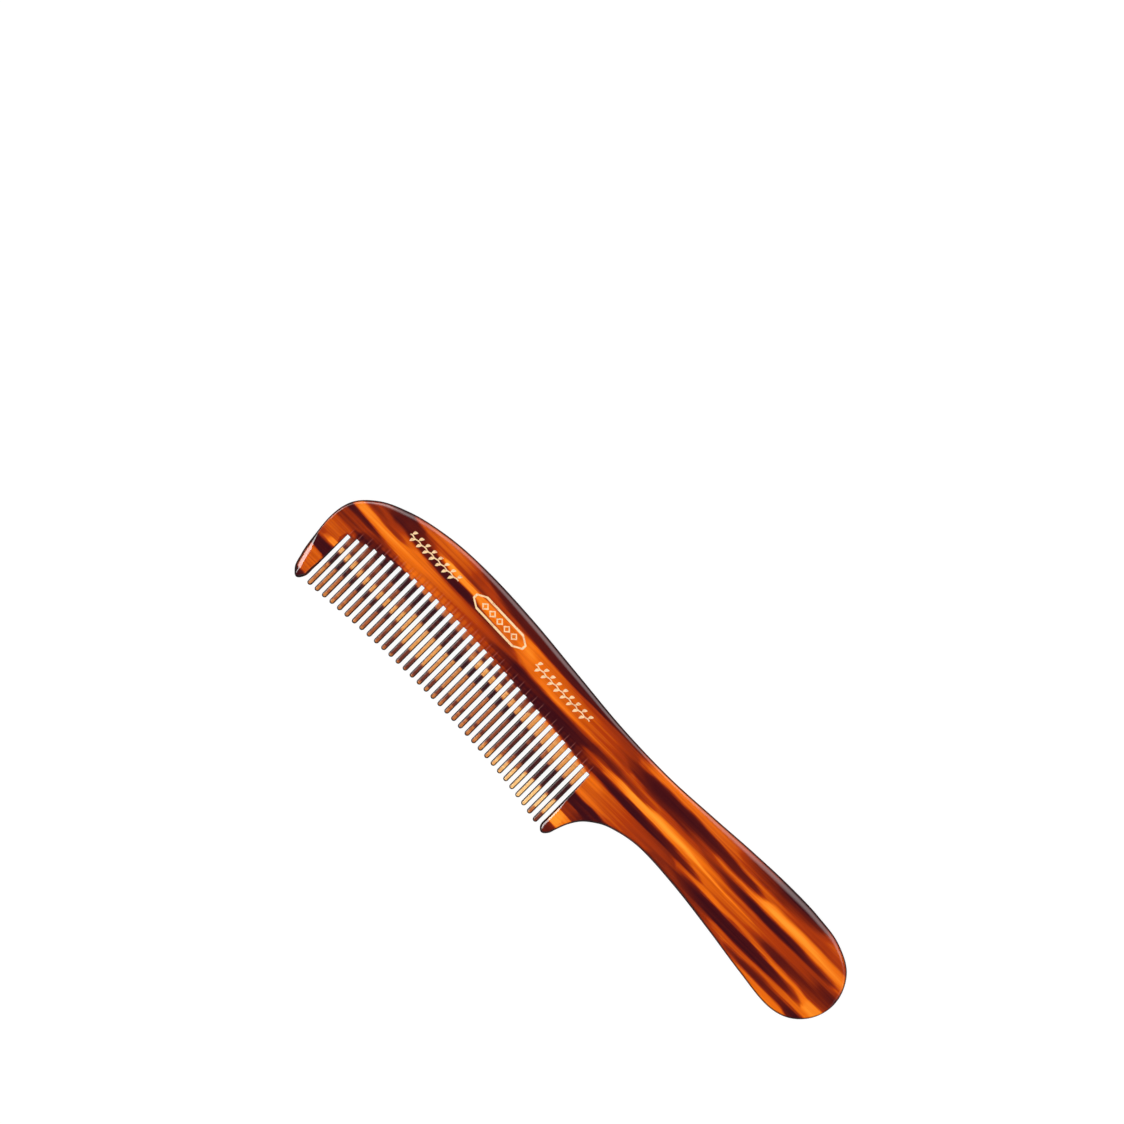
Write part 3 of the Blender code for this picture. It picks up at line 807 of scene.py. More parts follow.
HANDLE_STREAKS = [
    # The upper side of the handle
    (0.3, (106, 15.7, 16.3, 0.56), (111, 15.2, 16.5, 0.44), (115, 14.9, 18, 0.3), (120, 14.85, 18, 0.26),
     (126, 14.85, 18.5, 0.29), (132, 14.75, 19, 0.34), (140, 14.5, 20, 0.39), (146, 14.2, 20, 0.44),
     (151, 14.1, 20, 0.52), (157, 13.9, 20, 0.54), (163, 13.4, 20, 0.5)),
    (0.5, (116, 15.6, 16.4, 0.27), (124, 15.4, 16.3, 0.32), (132, 15.4, 16, 0.36), (138, 15.4, 15.6, 0.4)),
    (0.5, (143, 16, 17, 0.48), (148, 15.8, 17.6, 0.57), (152, 15.6, 18.4, 0.65), (156, 15.3, 20, 0.69),
     (160, 15.1, 20, 0.72), (165, 14.8, 20, 0.74), (170, 14.8, 20, 0.73), (175, 15, 20, 0.7),
     (180, 15.6, 20, 0.6), (184, 16.2, 19, 0.52), (187, 16.6, 18, 0.46)),
    (0.4, (157, 17.3, 17.8, 0.72), (162, 16.9, 19.5, 0.88), (166, 16.8, 20, 0.96), (171, 16.7, 20, 0.94),
     (176, 16.6, 19.5, 0.87), (180, 16.7, 18.5, 0.75), (184, 16.9, 17.2, 0.6)),
    (0.35, (103, 12.2, 13.8, 0.6), (108, 11.8, 14.3, 0.7), (112, 11, 14.6, 0.78), (116, 10.6, 14.85, 0.84),
     (120, 10.4, 14.85, 0.86), (126, 10.2, 14.8, 0.83), (131, 9.8, 14.8, 0.78), (136, 9.6, 14.6, 0.67),
     (141, 8.9, 14.3, 0.61), (145, 8.7, 14, 0.57), (149, 8.6, 13.8, 0.56), (154, 8, 13.5, 0.56)),
    (0.35, (109, 12.8, 14.2, 0.84), (114, 12.2, 14.5, 0.92), (118, 12, 14.7, 0.97), (122, 11.9, 14.75, 0.97),
     (128, 11.8, 14.6, 0.97), (133, 11.7, 14.5, 0.96), (137, 11.7, 14.4, 0.94), (141, 11.7, 14.2, 0.92),
     (145, 11.8, 14, 0.89), (150, 11.6, 13.7, 0.86), (155, 11.5, 13.4, 0.82), (158.5, 11.6, 13.1, 0.73),
     (161, 11.9, 12.8, 0.62), (163.5, 12.3, 12.3, 0.25)),
    (0.3, (138, 14.7, 15.3, 0.38), (144, 14.4, 15, 0.37), (150, 14, 14.8, 0.37), (155, 13.7, 14.8, 0.37),
     (160, 13.2, 14.4, 0.38), (164, 13, 14.4, 0.42), (170, 12.9, 14.4, 0.5), (175, 12.9, 14.6, 0.53),
     (180, 12.9, 15.2, 0.53), (186, 12.8, 15.2, 0.49), (198, 12.9, 14.5, 0.44)),
    (0.3, (138, 10.6, 11.3, 0.54), (143, 10.5, 11.4, 0.42), (147, 10.2, 11.3, 0.34), (152, 10.1, 11.2, 0.33),
     (157, 10, 11.3, 0.25), (160, 10.05, 11.7, 0.18), (162.5, 10.05, 12.6, 0.14), (165, 10.05, 13, 0.16),
     (170, 9.95, 12.9, 0.18), (175, 9.8, 12.8, 0.19), (180, 9.7, 12.7, 0.2), (185, 9.6, 12.6, 0.22),
     (190, 9.4, 12.6, 0.23), (202, 9.3, 12, 0.26)),
    (0.3, (160, 10.8, 11.5, 0.1), (163, 10.7, 12, 0.05), (168, 10.8, 12, 0.04), (174, 10.8, 12, 0.05),
     (180, 10.7, 11.7, 0.07), (186, 10.4, 11.3, 0.1), (200, 10.2, 11.1, 0.14)),
    (0.35, (137, 8.9, 10.2, 0.6), (142, 8.7, 10.1, 0.61), (146, 8.5, 9.9, 0.67), (150, 8, 9.6, 0.75),
     (155, 7.6, 9.6, 0.87), (160, 7.4, 9.6, 0.97), (165, 7.4, 9.6, 0.99), (170, 7.4, 9.55, 0.98),
     (175, 7.4, 9.5, 0.94), (180, 7.4, 9.3, 0.89), (185, 7.5, 9.2, 0.82), (190, 7.6, 9.1, 0.72),
     (193, 8, 9, 0.68), (195.5, 8.3, 8.3, 0.5)),
    # The lower side of the handle
    (0.5, (158, 3, 3.7, 0.42), (163, 2.7, 4, 0.5), (167, 2.4, 4.3, 0.63), (171, 2.3, 4.4, 0.78),
     (175, 2, 4.45, 0.83), (180, 2, 4.5, 0.77), (185, 2.1, 4.4, 0.75), (190, 2.2, 4.4, 0.71),
     (202, 2.4, 4.4, 0.7)),
    (0.6, (180, 4.8, 6.6, 0.56), (186, 4.4, 6.6, 0.66), (190, 4.4, 6.1, 0.82), (193, 4.4, 6, 0.9),
     (202, 4.4, 5.9, 0.92)),
    (0.25, (131, 1.8, 2.5, 0.54), (136, 1.6, 2.6, 0.44), (140, 1.5, 2.6, 0.36), (143, 1.5, 2.6, 0.28),
     (147, 1.4, 2.7, 0.23), (150, 1.4, 2.6, 0.21), (155, 1.3, 2.3, 0.25), (160, 1.3, 2.3, 0.3),
     (165, 1.2, 2.4, 0.33), (170, 1, 2.3, 0.34), (175, 0.7, 2, 0.33),
     (180, 0.3, 1.7, 0.31), (185, -0.3, 1.3, 0.28), (188, -1.6, 0.8, 0.22), (190.5, -3.3, 0.8, 0.13),
     (202, -3.4, 0.9, 0.14)),
    (0.3, (124, -4, -0.6, 0.7), (130, -4, -0.4, 0.75), (136, -5, -0.6, 0.74), (142, -5, -1.2, 0.73),
     (147, -6, -1.6, 0.71), (152, -7, -2.2, 0.63), (158, -7, -3.4, 0.56), (163, -7, -3.6, 0.6)),
    (0.35, (131, -0.8, 0.6, 0.66), (136, -1.2, 0.9, 0.7), (140, -1.5, 1.1, 0.8), (143, -1.6, 1.2, 0.9),
     (147, -1.8, 1.2, 0.98), (152, -2.1, 1.2, 1), (158, -2.4, 1.05, 1), (165, -2.35, 1.05, 0.99),
     (170, -2.35, 0.8, 0.96), (175, -2.3, 0.4, 0.94), (180, -2.2, -0.15, 0.86), (184, -2.1, -0.5, 0.74),
     (188, -1.9, -0.8, 0.62), (191.5, -1.5, -1.2, 0.35)),
    (0.25, (150, -3, -2.4, 0.62), (154, -3.5, -2.5, 0.47), (158, -3.8, -2.5, 0.43), (165, -3.8, -2.6, 0.44),
     (172, -3.7, -2.6, 0.4), (180, -3.7, -2.4, 0.36), (186, -3.7, -2.3, 0.3), (197, -3.6, -2, 0.2)),
    (0.35, (157, -4.6, -4, 0.58), (162, -5.2, -4, 0.66), (166, -5.5, -4, 0.72), (170, -5.8, -3.9, 0.8),
     (175, -5.9, -3.9, 0.8), (180, -6, -4, 0.74), (184, -6.1, -4, 0.8), (188, -6.8, -4, 0.93),
     (200, -9, -3.9, 0.97)),
    (0.35, (163, -7, -6, 0.52), (168, -8, -6.1, 0.4), (173, -10, -6.3, 0.32), (178, -10, -6.4, 0.28),
     (183, -10, -6.3, 0.27), (187, -9, -6.4, 0.3), (191, -7, -6.6, 0.4)),
]
TOOTH_STREAKS = [
    (0.5, (5.5, -1, 2.4, 0.62), (10, -1, 3.5, 0.7), (14, -1.3, 4.4, 0.7), (17, -1.7, 4.5, 0.76),
     (22, -2, 4, 0.72),
     (27, -2.2, 3, 0.66), (31, -2.3, 2, 0.62), (34, -2, 1, 0.5), (37, -1.2, 0.8, 0.35)),
    (0.35, (6.9, -1.1, 0.3, 0.84), (12, -1.3, 0.3, 0.82), (17, -1.7, 0.4, 0.79), (21, -1.8, 0.3, 0.74),
     (26, -2.2, -0.9, 0.68), (31, -2.3, -1.2, 0.62)),
    (0.5, (27, 5.8, 7.5, 0.36), (33, 5.5, 7.5, 0.45), (40, 5.3, 7.5, 0.48), (47, 5, 7.5, 0.5),
     (55, 4.9, 7.3, 0.52), (62, 4.8, 6.3, 0.62), (68, 4.3, 5.8, 0.62), (72, 4.2, 5.5, 0.66),
     (76, 3.8, 5, 0.64), (79, 3, 4.9, 0.5), (85, 2, 4.7, 0.46), (91, 1.6, 4.2, 0.43),
     (96, 1.4, 3.6, 0.42), (101.6, 1, 2.9, 0.4)),
    (0.3, (13, 4.6, 5.3, 0.75), (17, 3.3, 6.2, 0.95), (20, 2.8, 6.4, 0.98), (23, 2.2, 6.4, 0.98),
     (26, 1.6, 6.2, 1), (29, 1.3, 5.9, 1), (32, 0.9, 5.6, 1), (36, 0.3, 5.4, 0.99),
     (39, -0.3, 5.2, 0.98), (42, -1, 5.1, 0.95), (45, -1.1, 5.1, 0.94), (48, -1.3, 4.8, 0.91),
     (50, -1.5, 4.5, 0.87), (52.5, -1.6, 3.6, 0.82), (54.5, -1.7, 1.7, 0.95)),
    (0.25, (47, -1.2, 0.6, 0.97), (52, -1.6, 1.2, 0.99), (55.5, -1.75, 1.4, 0.99), (58, -1.9, 1.15, 1),
     (61, -2.1, 0.95, 1), (64, -2.2, 0.85, 1), (67, -2.4, 0.6, 1), (70, -2.4, 0.35, 1),
     (73, -2.5, 0, 1), (75.5, -2.7, -0.15, 1), (78, -2.7, -0.35, 0.96), (81, -2.9, -0.5, 0.9),
     (84, -2.6, -0.4, 0.84), (87, -2.5, -0.8, 0.73), (90, -2.2, -1, 0.56), (93, -1.9, -1.3, 0.4)),
    (0.25, (51, 4.1, 4.9, 0.72), (55.5, 4.15, 5.05, 0.83), (58, 3.7, 5.05, 0.87), (61, 3.25, 5.05, 0.86),
     (64, 3.1, 4.8, 0.82), (66.5, 2.85, 4.8, 0.82), (69.3, 2.65, 4.2, 0.75), (72, 2.4, 4.2, 0.74),
     (75, 2.1, 4, 0.68), (77.5, 2.1, 3.2, 0.55), (80, 2.5, 2.5, 0.35)),
    (0.25, (53, 2, 2.6, 0.5), (55.5, 1.5, 2.9, 0.42), (58, 1.2, 3.6, 0.22), (61, 1, 3.2, 0.22),
     (64, 0.9, 3.05, 0.23), (67, 0.7, 2.8, 0.24), (70, 0.4, 2.5, 0.21), (73, 0.05, 2.3, 0.24),
     (76, -0.2, 2.1, 0.28), (79, -0.4, 3.6, 0.28), (83, -0.4, 4.4, 0.28), (88, -0.9, 3.7, 0.28),
     (92, -1.6, 3.3, 0.28), (96, -2.4, 3, 0.28), (101.6, -2.6, 2.6, 0.3)),
    (0.35, (1.5, -2.2, -1.6, 0.4), (3.5, -2.5, -1.3, 0.3), (5.5, -2.8, -1, 0.14), (9, -2.8, -1.1, 0.14),
     (11.5, -3.4, -1.25, 0.18),
     (14.3, -3.7, -1.3, 0.22), (17, -4, -1.6, 0.25), (20, -4.2, -1.8, 0.25), (25, -4.6, -2.1, 0.27),
     (28, -4.8, -2.2, 0.27), (31, -4.9, -2.2, 0.25), (34, -5, -1.6, 0.25), (36, -5.6, -0.2, 0.26),
     (39, -8.2, -0.9, 0.25), (42, -8.1, -1, 0.25), (45, -8.4, -1.1, 0.25), (48, -8.6, -1.3, 0.28),
     (51, -8.8, -1.6, 0.34), (55, -9, -1.7, 0.4), (60, -9, -2, 0.46), (65, -9.1, -2.3, 0.49),
     (70, -9.2, -2.4, 0.5), (72, -8.8, -2.4, 0.56)),
    (0.4, (-3, -6, -3, 0.97), (3, -6.1, -3, 0.98), (9, -6.6, -2.9, 0.99), (11.5, -6.6, -3.4, 0.99),
     (14.3, -6.7, -3.7, 0.94), (17, -7, -4, 0.94), (20, -7.05, -4.2, 0.97), (23, -7.2, -4.4, 0.94),
     (26, -7.3, -4.6, 0.94), (29, -7.3, -4.8, 0.92), (31.5, -7.2, -4.9, 0.89), (33.5, -7.2, -5.1, 0.8),
     (36, -7.5, -5.8, 0.6), (38.5, -7, -7, 0.3)),
    # The front guard's bands
    (0.35, (-3, -14, -6, 0.4), (3, -14, -6.1, 0.39), (7, -14, -6.4, 0.4)),
    (0.5, (1, -10, -8.7, 0.42), (7, -10, -8.6, 0.4)),
    (0.45, (1, -17, -13.6, 0.9), (7, -17, -13.3, 0.94)),
    # The rear guard's bands
    (0.3, (101, -7.2, -3.8, 1), (103, -7.3, -3.9, 1), (106, -7.2, -4, 0.98), (110, -9, -3.9, 0.98),
     (113, -9, -4.1, 0.94), (116, -6, -4, 0.8), (118, -4.2, -4.2, 0.5)),
    (0.3, (101, -9.9, -7.2, 0.7), (104, -10, -7.2, 0.67), (107, -10.1, -7.2, 0.74), (110, -10, -7.5, 0.85)),
    (0.25, (101, -14.6, -9.9, 0.13), (104, -14.7, -10, 0.11), (106, -14.8, -10.2, 0.2),
     (109, -14, -10.5, 0.26)),
    (0.5, (101, -13.1, -11.6, 0.03), (106, -13.2, -11.8, 0.07)),
    (0.25, (101, -20, -14.8, 0.82), (103, -20, -14.7, 0.79), (107, -20, -14.9, 0.86)),
    # The lower halves of the teeth
    (0.35, (7.3, -16, -6.5, 0.46), (11, -16, -6.6, 0.48), (17, -16, -7, 0.56), (23, -16, -7.2, 0.58),
     (28, -16, -7.3, 0.6), (33, -16, -7.2, 0.62), (36, -16, -7.6, 0.55), (38, -15, -8.4, 0.6)),
    (0.5, (7.3, -10.5, -8.2, 0.38), (12, -11.5, -9.2, 0.42), (19, -12.5, -10.8, 0.5), (26, -13, -12, 0.54)),
    (0.5, (7.3, -17, -14, 0.4), (20, -16, -12.8, 0.44), (32, -16, -12.4, 0.48), (39, -16, -12.8, 0.48)),
    (0.35, (32, -10.6, -9.2, 0.66), (36, -11.8, -8.9, 0.84), (39, -12.4, -8.5, 0.81), (42, -12.5, -8.2, 0.82),
     (45, -13, -8.6, 0.81), (48, -13.2, -8.8, 0.81), (51, -13, -8.9, 0.8), (54, -12.2, -9.1, 0.78),
     (58, -11.8, -9.3, 0.75), (62, -11, -9.1, 0.75), (66, -10.9, -9.3, 0.79), (70, -10.9, -9.5, 0.77),
     (73, -11.2, -9.5, 0.78), (77, -11.4, -9.6, 0.73), (80, -10.9, -9.8, 0.6), (84, -11, -10, 0.58),
     (87.5, -10.5, -10.4, 0.4)),
    (0.4, (38, -16, -12.1, 0.48), (45, -16, -12.6, 0.46), (50, -16, -12.3, 0.45), (55, -16, -11.6, 0.48),
     (60, -16, -11.2, 0.5), (66, -16, -11.2, 0.48), (70, -16, -11.4, 0.44), (74, -16, -11.6, 0.42)),
    (0.4, (70, -9.4, -2.5, 0.52), (73, -9.5, -2.5, 0.61), (75.5, -9.6, -2.6, 0.68), (78, -9.6, -2.6, 0.72),
     (81, -9.7, -2.6, 0.69), (84, -10, -2.4, 0.63), (87, -9.5, -2, 0.6), (90, -9, -1.7, 0.5)),
    (0.35, (75, -6.8, -3.4, 0.76), (79, -7.6, -3.6, 0.83), (82, -8.1, -3.6, 0.9), (85, -8.4, -3.6, 0.93),
     (88, -9.1, -3.6, 0.95), (91, -9.3, -3.7, 0.94), (94, -9.4, -3.2, 0.98), (97, -9.5, -3.5, 0.98),
     (100, -9.3, -3.2, 0.97), (101.7, -8.5, -3.6, 1)),
    (0.35, (73, -15, -11.8, 0.36), (77, -15, -11.6, 0.3), (80, -16, -11.2, 0.15), (83, -16, -11.4, 0.13),
     (86, -16.5, -11, 0.07), (89, -17, -9.7, 0.03), (92, -17, -9.5, 0.02), (95, -17.5, -9.5, 0.03),
     (98, -18, -9.6, 0.05), (101.6, -18, -9, 0.12)),
    (0.4, (95, -16.3, -15, 0.4), (98, -17, -14.2, 0.55), (100, -18, -14.1, 0.74), (101.7, -19, -14.5, 0.8)),
]
SHEET_STREAKS = BACK_STREAKS + NECK_STREAKS + HANDLE_STREAKS


# ---------------------------------------------------------------- materials
# Colours from tone 0 to tone 1, in 8-bit sRGB: seen on the flat of the sheet, and on the fine teeth, paler
# there for a painted glow of light through the thin teeth
SHEET_COLOURS = [(248, 150, 38), (224, 103, 4), (164, 52, 3), (96, 23, 10), (56, 10, 17)]
TOOTH_GLOW_COLOURS = [(240, 190, 122), (214, 140, 70), (164, 86, 44), (108, 48, 34), (52, 20, 24)]
# painted shade on the rims' steep slopes, for the dark outline round the comb
RIM_SHADE_COLOUR = (34, 24, 25)
# painted shade on the teeth's rounded flanks, also used for the painted rim shade on the teeth
TOOTH_FLANK_SHADE_COLOUR = (56, 39, 30)
FOIL_FRESH = (226, 192, 142)
FOIL_WORN = (178, 120, 74)
# A grain is its scale per mm along, across and up, its layer of the noise, and its detail where not 2
SWAY = ((0.06, 0.25, 0.1), 1)
FRAY = ((0.08, 1.6, 0.2), 2)
HANDLING = ((0.08, 0.1, 0.1), 6)
SCUFFS = ((0.25, 9.0, 0.3), 7, 5.0)
POLISH = ((0.5, 0.7, 0.5), 8)
FOIL_PATCHES = ((0.5, 1.2, 1.0), 9, 4.0)
FOIL_SPECKS = ((3.0, 3.0, 1.0), 10)
CLOUDING = ((0.8, 0.8, 0.8), 11)
WANDERING = 0.5  # mm that sway and fray each move a streak
# The fibres in the pattern: each one's grain, then its strength
FIBRES = [
    (((0.018, 0.8, 0.2), 3, 2.0), 0.18),
    (((0.03, 2.0, 0.3), 4, 1.0), 0.07),
    (((0.1, 4.5, 0.3), 5, 1.0), 0.03),
]
CHAIN_LINK = 1e-7  # too small a share of the tone to be seen
GUARD_FADE = 0.6  # mm over which the teeth's own looks fade at the guards
# a painted highlight down each saw groove above a slot, and darker flanks beside it
MARK_HIGHLIGHT_COLOUR = (176, 106, 102)
MARK_HIGHLIGHT_SHARE = 0.26
MARK_DARK = 0.1
ROOT_SPAN = 10.0  # mm that the root line's curve node spans in height
# Where a look starts and where it is full. First by a face's slant, as the size of its normal's Z
# painted shade on the rims: it starts at a steeper slant on a narrow rim than on a broad one, and fades out
# on the upright side wall
NARROW_RIM_SHADE = (0.86, 0.6)
BROAD_RIM_SHADE = (0.97, 0.78)
RIM_SHADE_WALL_FADE = (0.05, 0.3)
# the painted flank shade starts where a tooth's side tilts away from the face
FLANK_SHADE_SLANT = (0.995, 0.8)
SAWN_SLANT = (0.995, 0.9)
# Then by y, and by the depth below the roots
# where the painted rim shade changes from the narrow kind to the broad kind, going down
RIM_SHADE_CHANGE = (1.0, -4.0)
TOOTH_START = (-0.6, 2.0)
# and the painted flank shade grows with the depth below the roots
FLANK_SHADE_DEPTH = (1.0, 13.0)
MARK_START = (-3.0, -0.9)
MARK_END = (0.5, 0.0)
# Then by the distance from a slot's middle, in pitches
MARK_HIGHLIGHT_MIDDLE = (0.09, 0.01)
MARK_FLANK_INNER = (0.06, 0.16)
MARK_FLANK_OUTER = (0.4, 0.2)
# And by the foil's wear
WORN = (-0.1, 0.8)
# how strongly the teeth's flanks are painted with shade
FLANK_SHADE_STRENGTH = 0.85
# how strongly the rims are painted with shade, a little less on the teeth
RIM_SHADE_STRENGTH = 0.9
TOOTH_RIM_SHADE_LESS = -0.1
ACETATE_IOR = 1.49
POLISHED_ROUGHNESS = 0.08
HANDLING_ROUGHNESS = 0.02
SCUFF_ROUGHNESS = 0.05
SAWN_ROUGHNESS = 0.1
ACETATE_BUMP = 0.00001  # metres
ACETATE_BUMP_STRENGTH = 0.12
SCUFF_HEIGHT = 0.05
FOIL_ROUGHNESS = 0.38
WORN_ROUGHNESS = 0.2
FOIL_BUMP = 0.00002  # metres
FOIL_BUMP_STRENGTH = 0.4
FOIL_METALLIC = 0.15
TABLE_COLOURS = [(98, 98, 99), (101, 101, 101)]
TABLE_GLOW = 0.9
TABLE_ROUGHNESS = 0.9


def new_material(name):
    """A node material whose shader is still to be given its colour."""
    material = bpy.data.materials.new(name)
    material.use_nodes = True
    tree = material.node_tree
    return material, tree, tree.nodes["Principled BSDF"]


def depth_below_roots(tree, along, across):
    """How far the shaded point is below the line of the tooth roots, in millimetres."""
    start, end = ROOT_LINE[0][0], ROOT_LINE[-1][0]
    inputs = {"Value": along, "From Min": start, "From Max": end}
    place = add_node(tree, "ShaderNodeMapRange", inputs).outputs[0]
    curve = add_node(tree, "ShaderNodeFloatCurve", {"Value": place})
    points = curve.mapping.curves[0].points
    for x, y, *_heading in ROOT_LINE[1:-1]:
        points.new((x - start) / (end - start), y / ROOT_SPAN)
    points[0].location = (0.0, ROOT_LINE[0][1] / ROOT_SPAN)
    points[-1].location = (1.0, ROOT_LINE[-1][1] / ROOT_SPAN)
    curve.mapping.update()
    return maths(tree, "SUBTRACT", maths(tree, "MULTIPLY", curve.outputs[0], ROOT_SPAN), across)


def among_teeth(tree, along):
    """1 between the guards and 0 outside them."""
    after_guard = smooth_step(tree, along, FRONT_GUARD_INNER, FRONT_GUARD_INNER + GUARD_FADE)
    before_guard = smooth_step(tree, along, REAR_GUARD_INNER, REAR_GUARD_INNER - GUARD_FADE)
    return maths(tree, "MULTIPLY", after_guard, before_guard)


def saw_marks(tree, along, depth, slot_start, pitch):
    """How strongly a saw cut's run-out is painted above its slot: a painted highlight down its middle, and
    darker flanks.
    """
    turns = maths(tree, "DIVIDE", maths(tree, "SUBTRACT", along, slot_start - pitch / 2), pitch)
    off = maths(tree, "ABSOLUTE", maths(tree, "SUBTRACT", maths(tree, "FRACT", turns), 0.5))
    middle = smooth_step(tree, off, *MARK_HIGHLIGHT_MIDDLE)
    inner = smooth_step(tree, off, *MARK_FLANK_INNER)
    flank = maths(tree, "MULTIPLY", inner, smooth_step(tree, off, *MARK_FLANK_OUTER))
    fading = smooth_step(tree, depth, *MARK_START)
    above = maths(tree, "MULTIPLY", fading, smooth_step(tree, depth, *MARK_END))
    above = maths(tree, "MULTIPLY", above, among_teeth(tree, along))
    return maths(tree, "MULTIPLY", middle, above), maths(tree, "MULTIPLY", flank, above)


def sheet_tone(tree, place, along, across):
    """The pattern's tone, from 0, clear amber, to 1, near black."""
    sway = maths(tree, "MULTIPLY", grain(tree, place, *SWAY), WANDERING)
    fray = maths(tree, "MULTIPLY_ADD", grain(tree, place, *FRAY), WANDERING, sway)
    level = maths(tree, "ADD", across, fray)
    group = streak_group()
    tone = BASE_TONE
    plan = ((SHEET_STREAKS, SHEET_SOFTENING, LONG_TIP), (TOOTH_STREAKS, TOOTH_SOFTENING, SHORT_TIP))
    for streaks, softening, tip in plan:
        for streak in streaks:
            tone = lay_streak(tree, group, tone, along, level, streak, softening, tip)
            # Cycles' stack is too small for every streak at once, so each one waits for the last
            along = maths(tree, "MULTIPLY_ADD", tone, CHAIN_LINK, along)
    for fibre, strength in FIBRES:
        tone = maths(tree, "MULTIPLY_ADD", grain(tree, place, *fibre), strength, tone)
    return tone


def acetate_material(to_frame, slot_start, pitch):
    """Polished tortoiseshell acetate: streaked amber, red-brown and near black, with painted rim shade, tooth
    glow and groove highlights.
    """
    material, tree, shader = new_material("tortoiseshell_acetate_look")
    place = drawing_place(tree, to_frame)
    axes = add_node(tree, "ShaderNodeSeparateXYZ", {0: place}).outputs
    along, across = axes[0], axes[1]
    normal = add_node(tree, "ShaderNodeNewGeometry").outputs["Normal"]
    upward = maths(tree, "ABSOLUTE", add_node(tree, "ShaderNodeSeparateXYZ", {0: normal}).outputs[2])
    # Painted shade on the rims: darker where the surface tilts away from the face
    narrow = smooth_step(tree, upward, *NARROW_RIM_SHADE)
    broad = smooth_step(tree, upward, *BROAD_RIM_SHADE)
    turn = blend_value(tree, smooth_step(tree, across, *RIM_SHADE_CHANGE), narrow, broad)
    corner = maths(tree, "MULTIPLY", turn, smooth_step(tree, upward, *RIM_SHADE_WALL_FADE))
    depth = depth_below_roots(tree, along, across)
    tooth = maths(tree, "MULTIPLY", smooth_step(tree, depth, *TOOTH_START), among_teeth(tree, along))
    # Painted shade on the teeth's flanks, deeper towards the tips
    flank = smooth_step(tree, upward, *FLANK_SHADE_SLANT)
    flank = maths(tree, "MULTIPLY", flank, smooth_step(tree, depth, *FLANK_SHADE_DEPTH))
    middle, flanks = saw_marks(tree, along, depth, slot_start, pitch)
    tone = maths(tree, "MULTIPLY_ADD", flanks, MARK_DARK, sheet_tone(tree, place, along, across))
    # the teeth take the paler colours: a painted glow of light shining through them
    colour = blend(tree, tooth, ramp(tree, tone, SHEET_COLOURS), ramp(tree, tone, TOOTH_GLOW_COLOURS))
    # a painted highlight down each saw groove
    colour = blend(tree, maths(tree, "MULTIPLY", middle, MARK_HIGHLIGHT_SHARE), colour, linear(*MARK_HIGHLIGHT_COLOUR))
    flank = maths(tree, "MULTIPLY", flank, tooth)
    flank_shading = maths(tree, "MULTIPLY", flank, FLANK_SHADE_STRENGTH)
    colour = blend(tree, flank_shading, colour, linear(*TOOTH_FLANK_SHADE_COLOUR))
    # the painted rim shade, in the flank shade's colour on the teeth
    strength = maths(tree, "MULTIPLY_ADD", tooth, TOOTH_RIM_SHADE_LESS, RIM_SHADE_STRENGTH)
    edge = maths(tree, "MULTIPLY", corner, strength)
    rim_shade_colour = blend(tree, tooth, linear(*RIM_SHADE_COLOUR), linear(*TOOTH_FLANK_SHADE_COLOUR))
    colour = blend(tree, edge, colour, rim_shade_colour)
    tree.links.new(colour, shader.inputs["Base Color"])
    handled = grain(tree, place, *HANDLING)
    scuffs = grain(tree, place, *SCUFFS)
    rough = maths(tree, "MULTIPLY_ADD", handled, HANDLING_ROUGHNESS, POLISHED_ROUGHNESS)
    rough = maths(tree, "MULTIPLY_ADD", maths(tree, "MAXIMUM", scuffs, 0.0), SCUFF_ROUGHNESS, rough)
    sawn = maths(tree, "MULTIPLY", tooth, smooth_step(tree, upward, *SAWN_SLANT))
    rough = maths(tree, "MULTIPLY_ADD", sawn, SAWN_ROUGHNESS, rough)
    tree.links.new(rough, shader.inputs["Roughness"])
    shader.inputs["IOR"].default_value = ACETATE_IOR
    polish = maths(tree, "MULTIPLY_ADD", scuffs, SCUFF_HEIGHT, grain(tree, place, *POLISH))
    inputs = {"Height": polish, "Strength": ACETATE_BUMP_STRENGTH, "Distance": ACETATE_BUMP}
    bump = add_node(tree, "ShaderNodeBump", inputs)
    tree.links.new(bump.outputs[0], shader.inputs["Normal"])
    return material


def foil_material(to_frame):
    """Pale gold hot foil, rubbed thin in places."""
    material, tree, shader = new_material("pale_gold_foil_look")
    place = drawing_place(tree, to_frame)
    patches = grain(tree, place, *FOIL_PATCHES)
    wear = maths(tree, "ADD", patches, grain(tree, place, *FOIL_SPECKS))
    worn = smooth_step(tree, wear, *WORN)
    colour = blend(tree, worn, linear(*FOIL_FRESH), linear(*FOIL_WORN))
    tree.links.new(colour, shader.inputs["Base Color"])
    rough = maths(tree, "MULTIPLY_ADD", worn, WORN_ROUGHNESS, FOIL_ROUGHNESS)
    tree.links.new(rough, shader.inputs["Roughness"])
    shader.inputs["Metallic"].default_value = FOIL_METALLIC
    inputs = {"Height": wear, "Strength": FOIL_BUMP_STRENGTH, "Distance": FOIL_BUMP}
    bump = add_node(tree, "ShaderNodeBump", inputs)
    tree.links.new(bump.outputs[0], shader.inputs["Normal"])
    return material


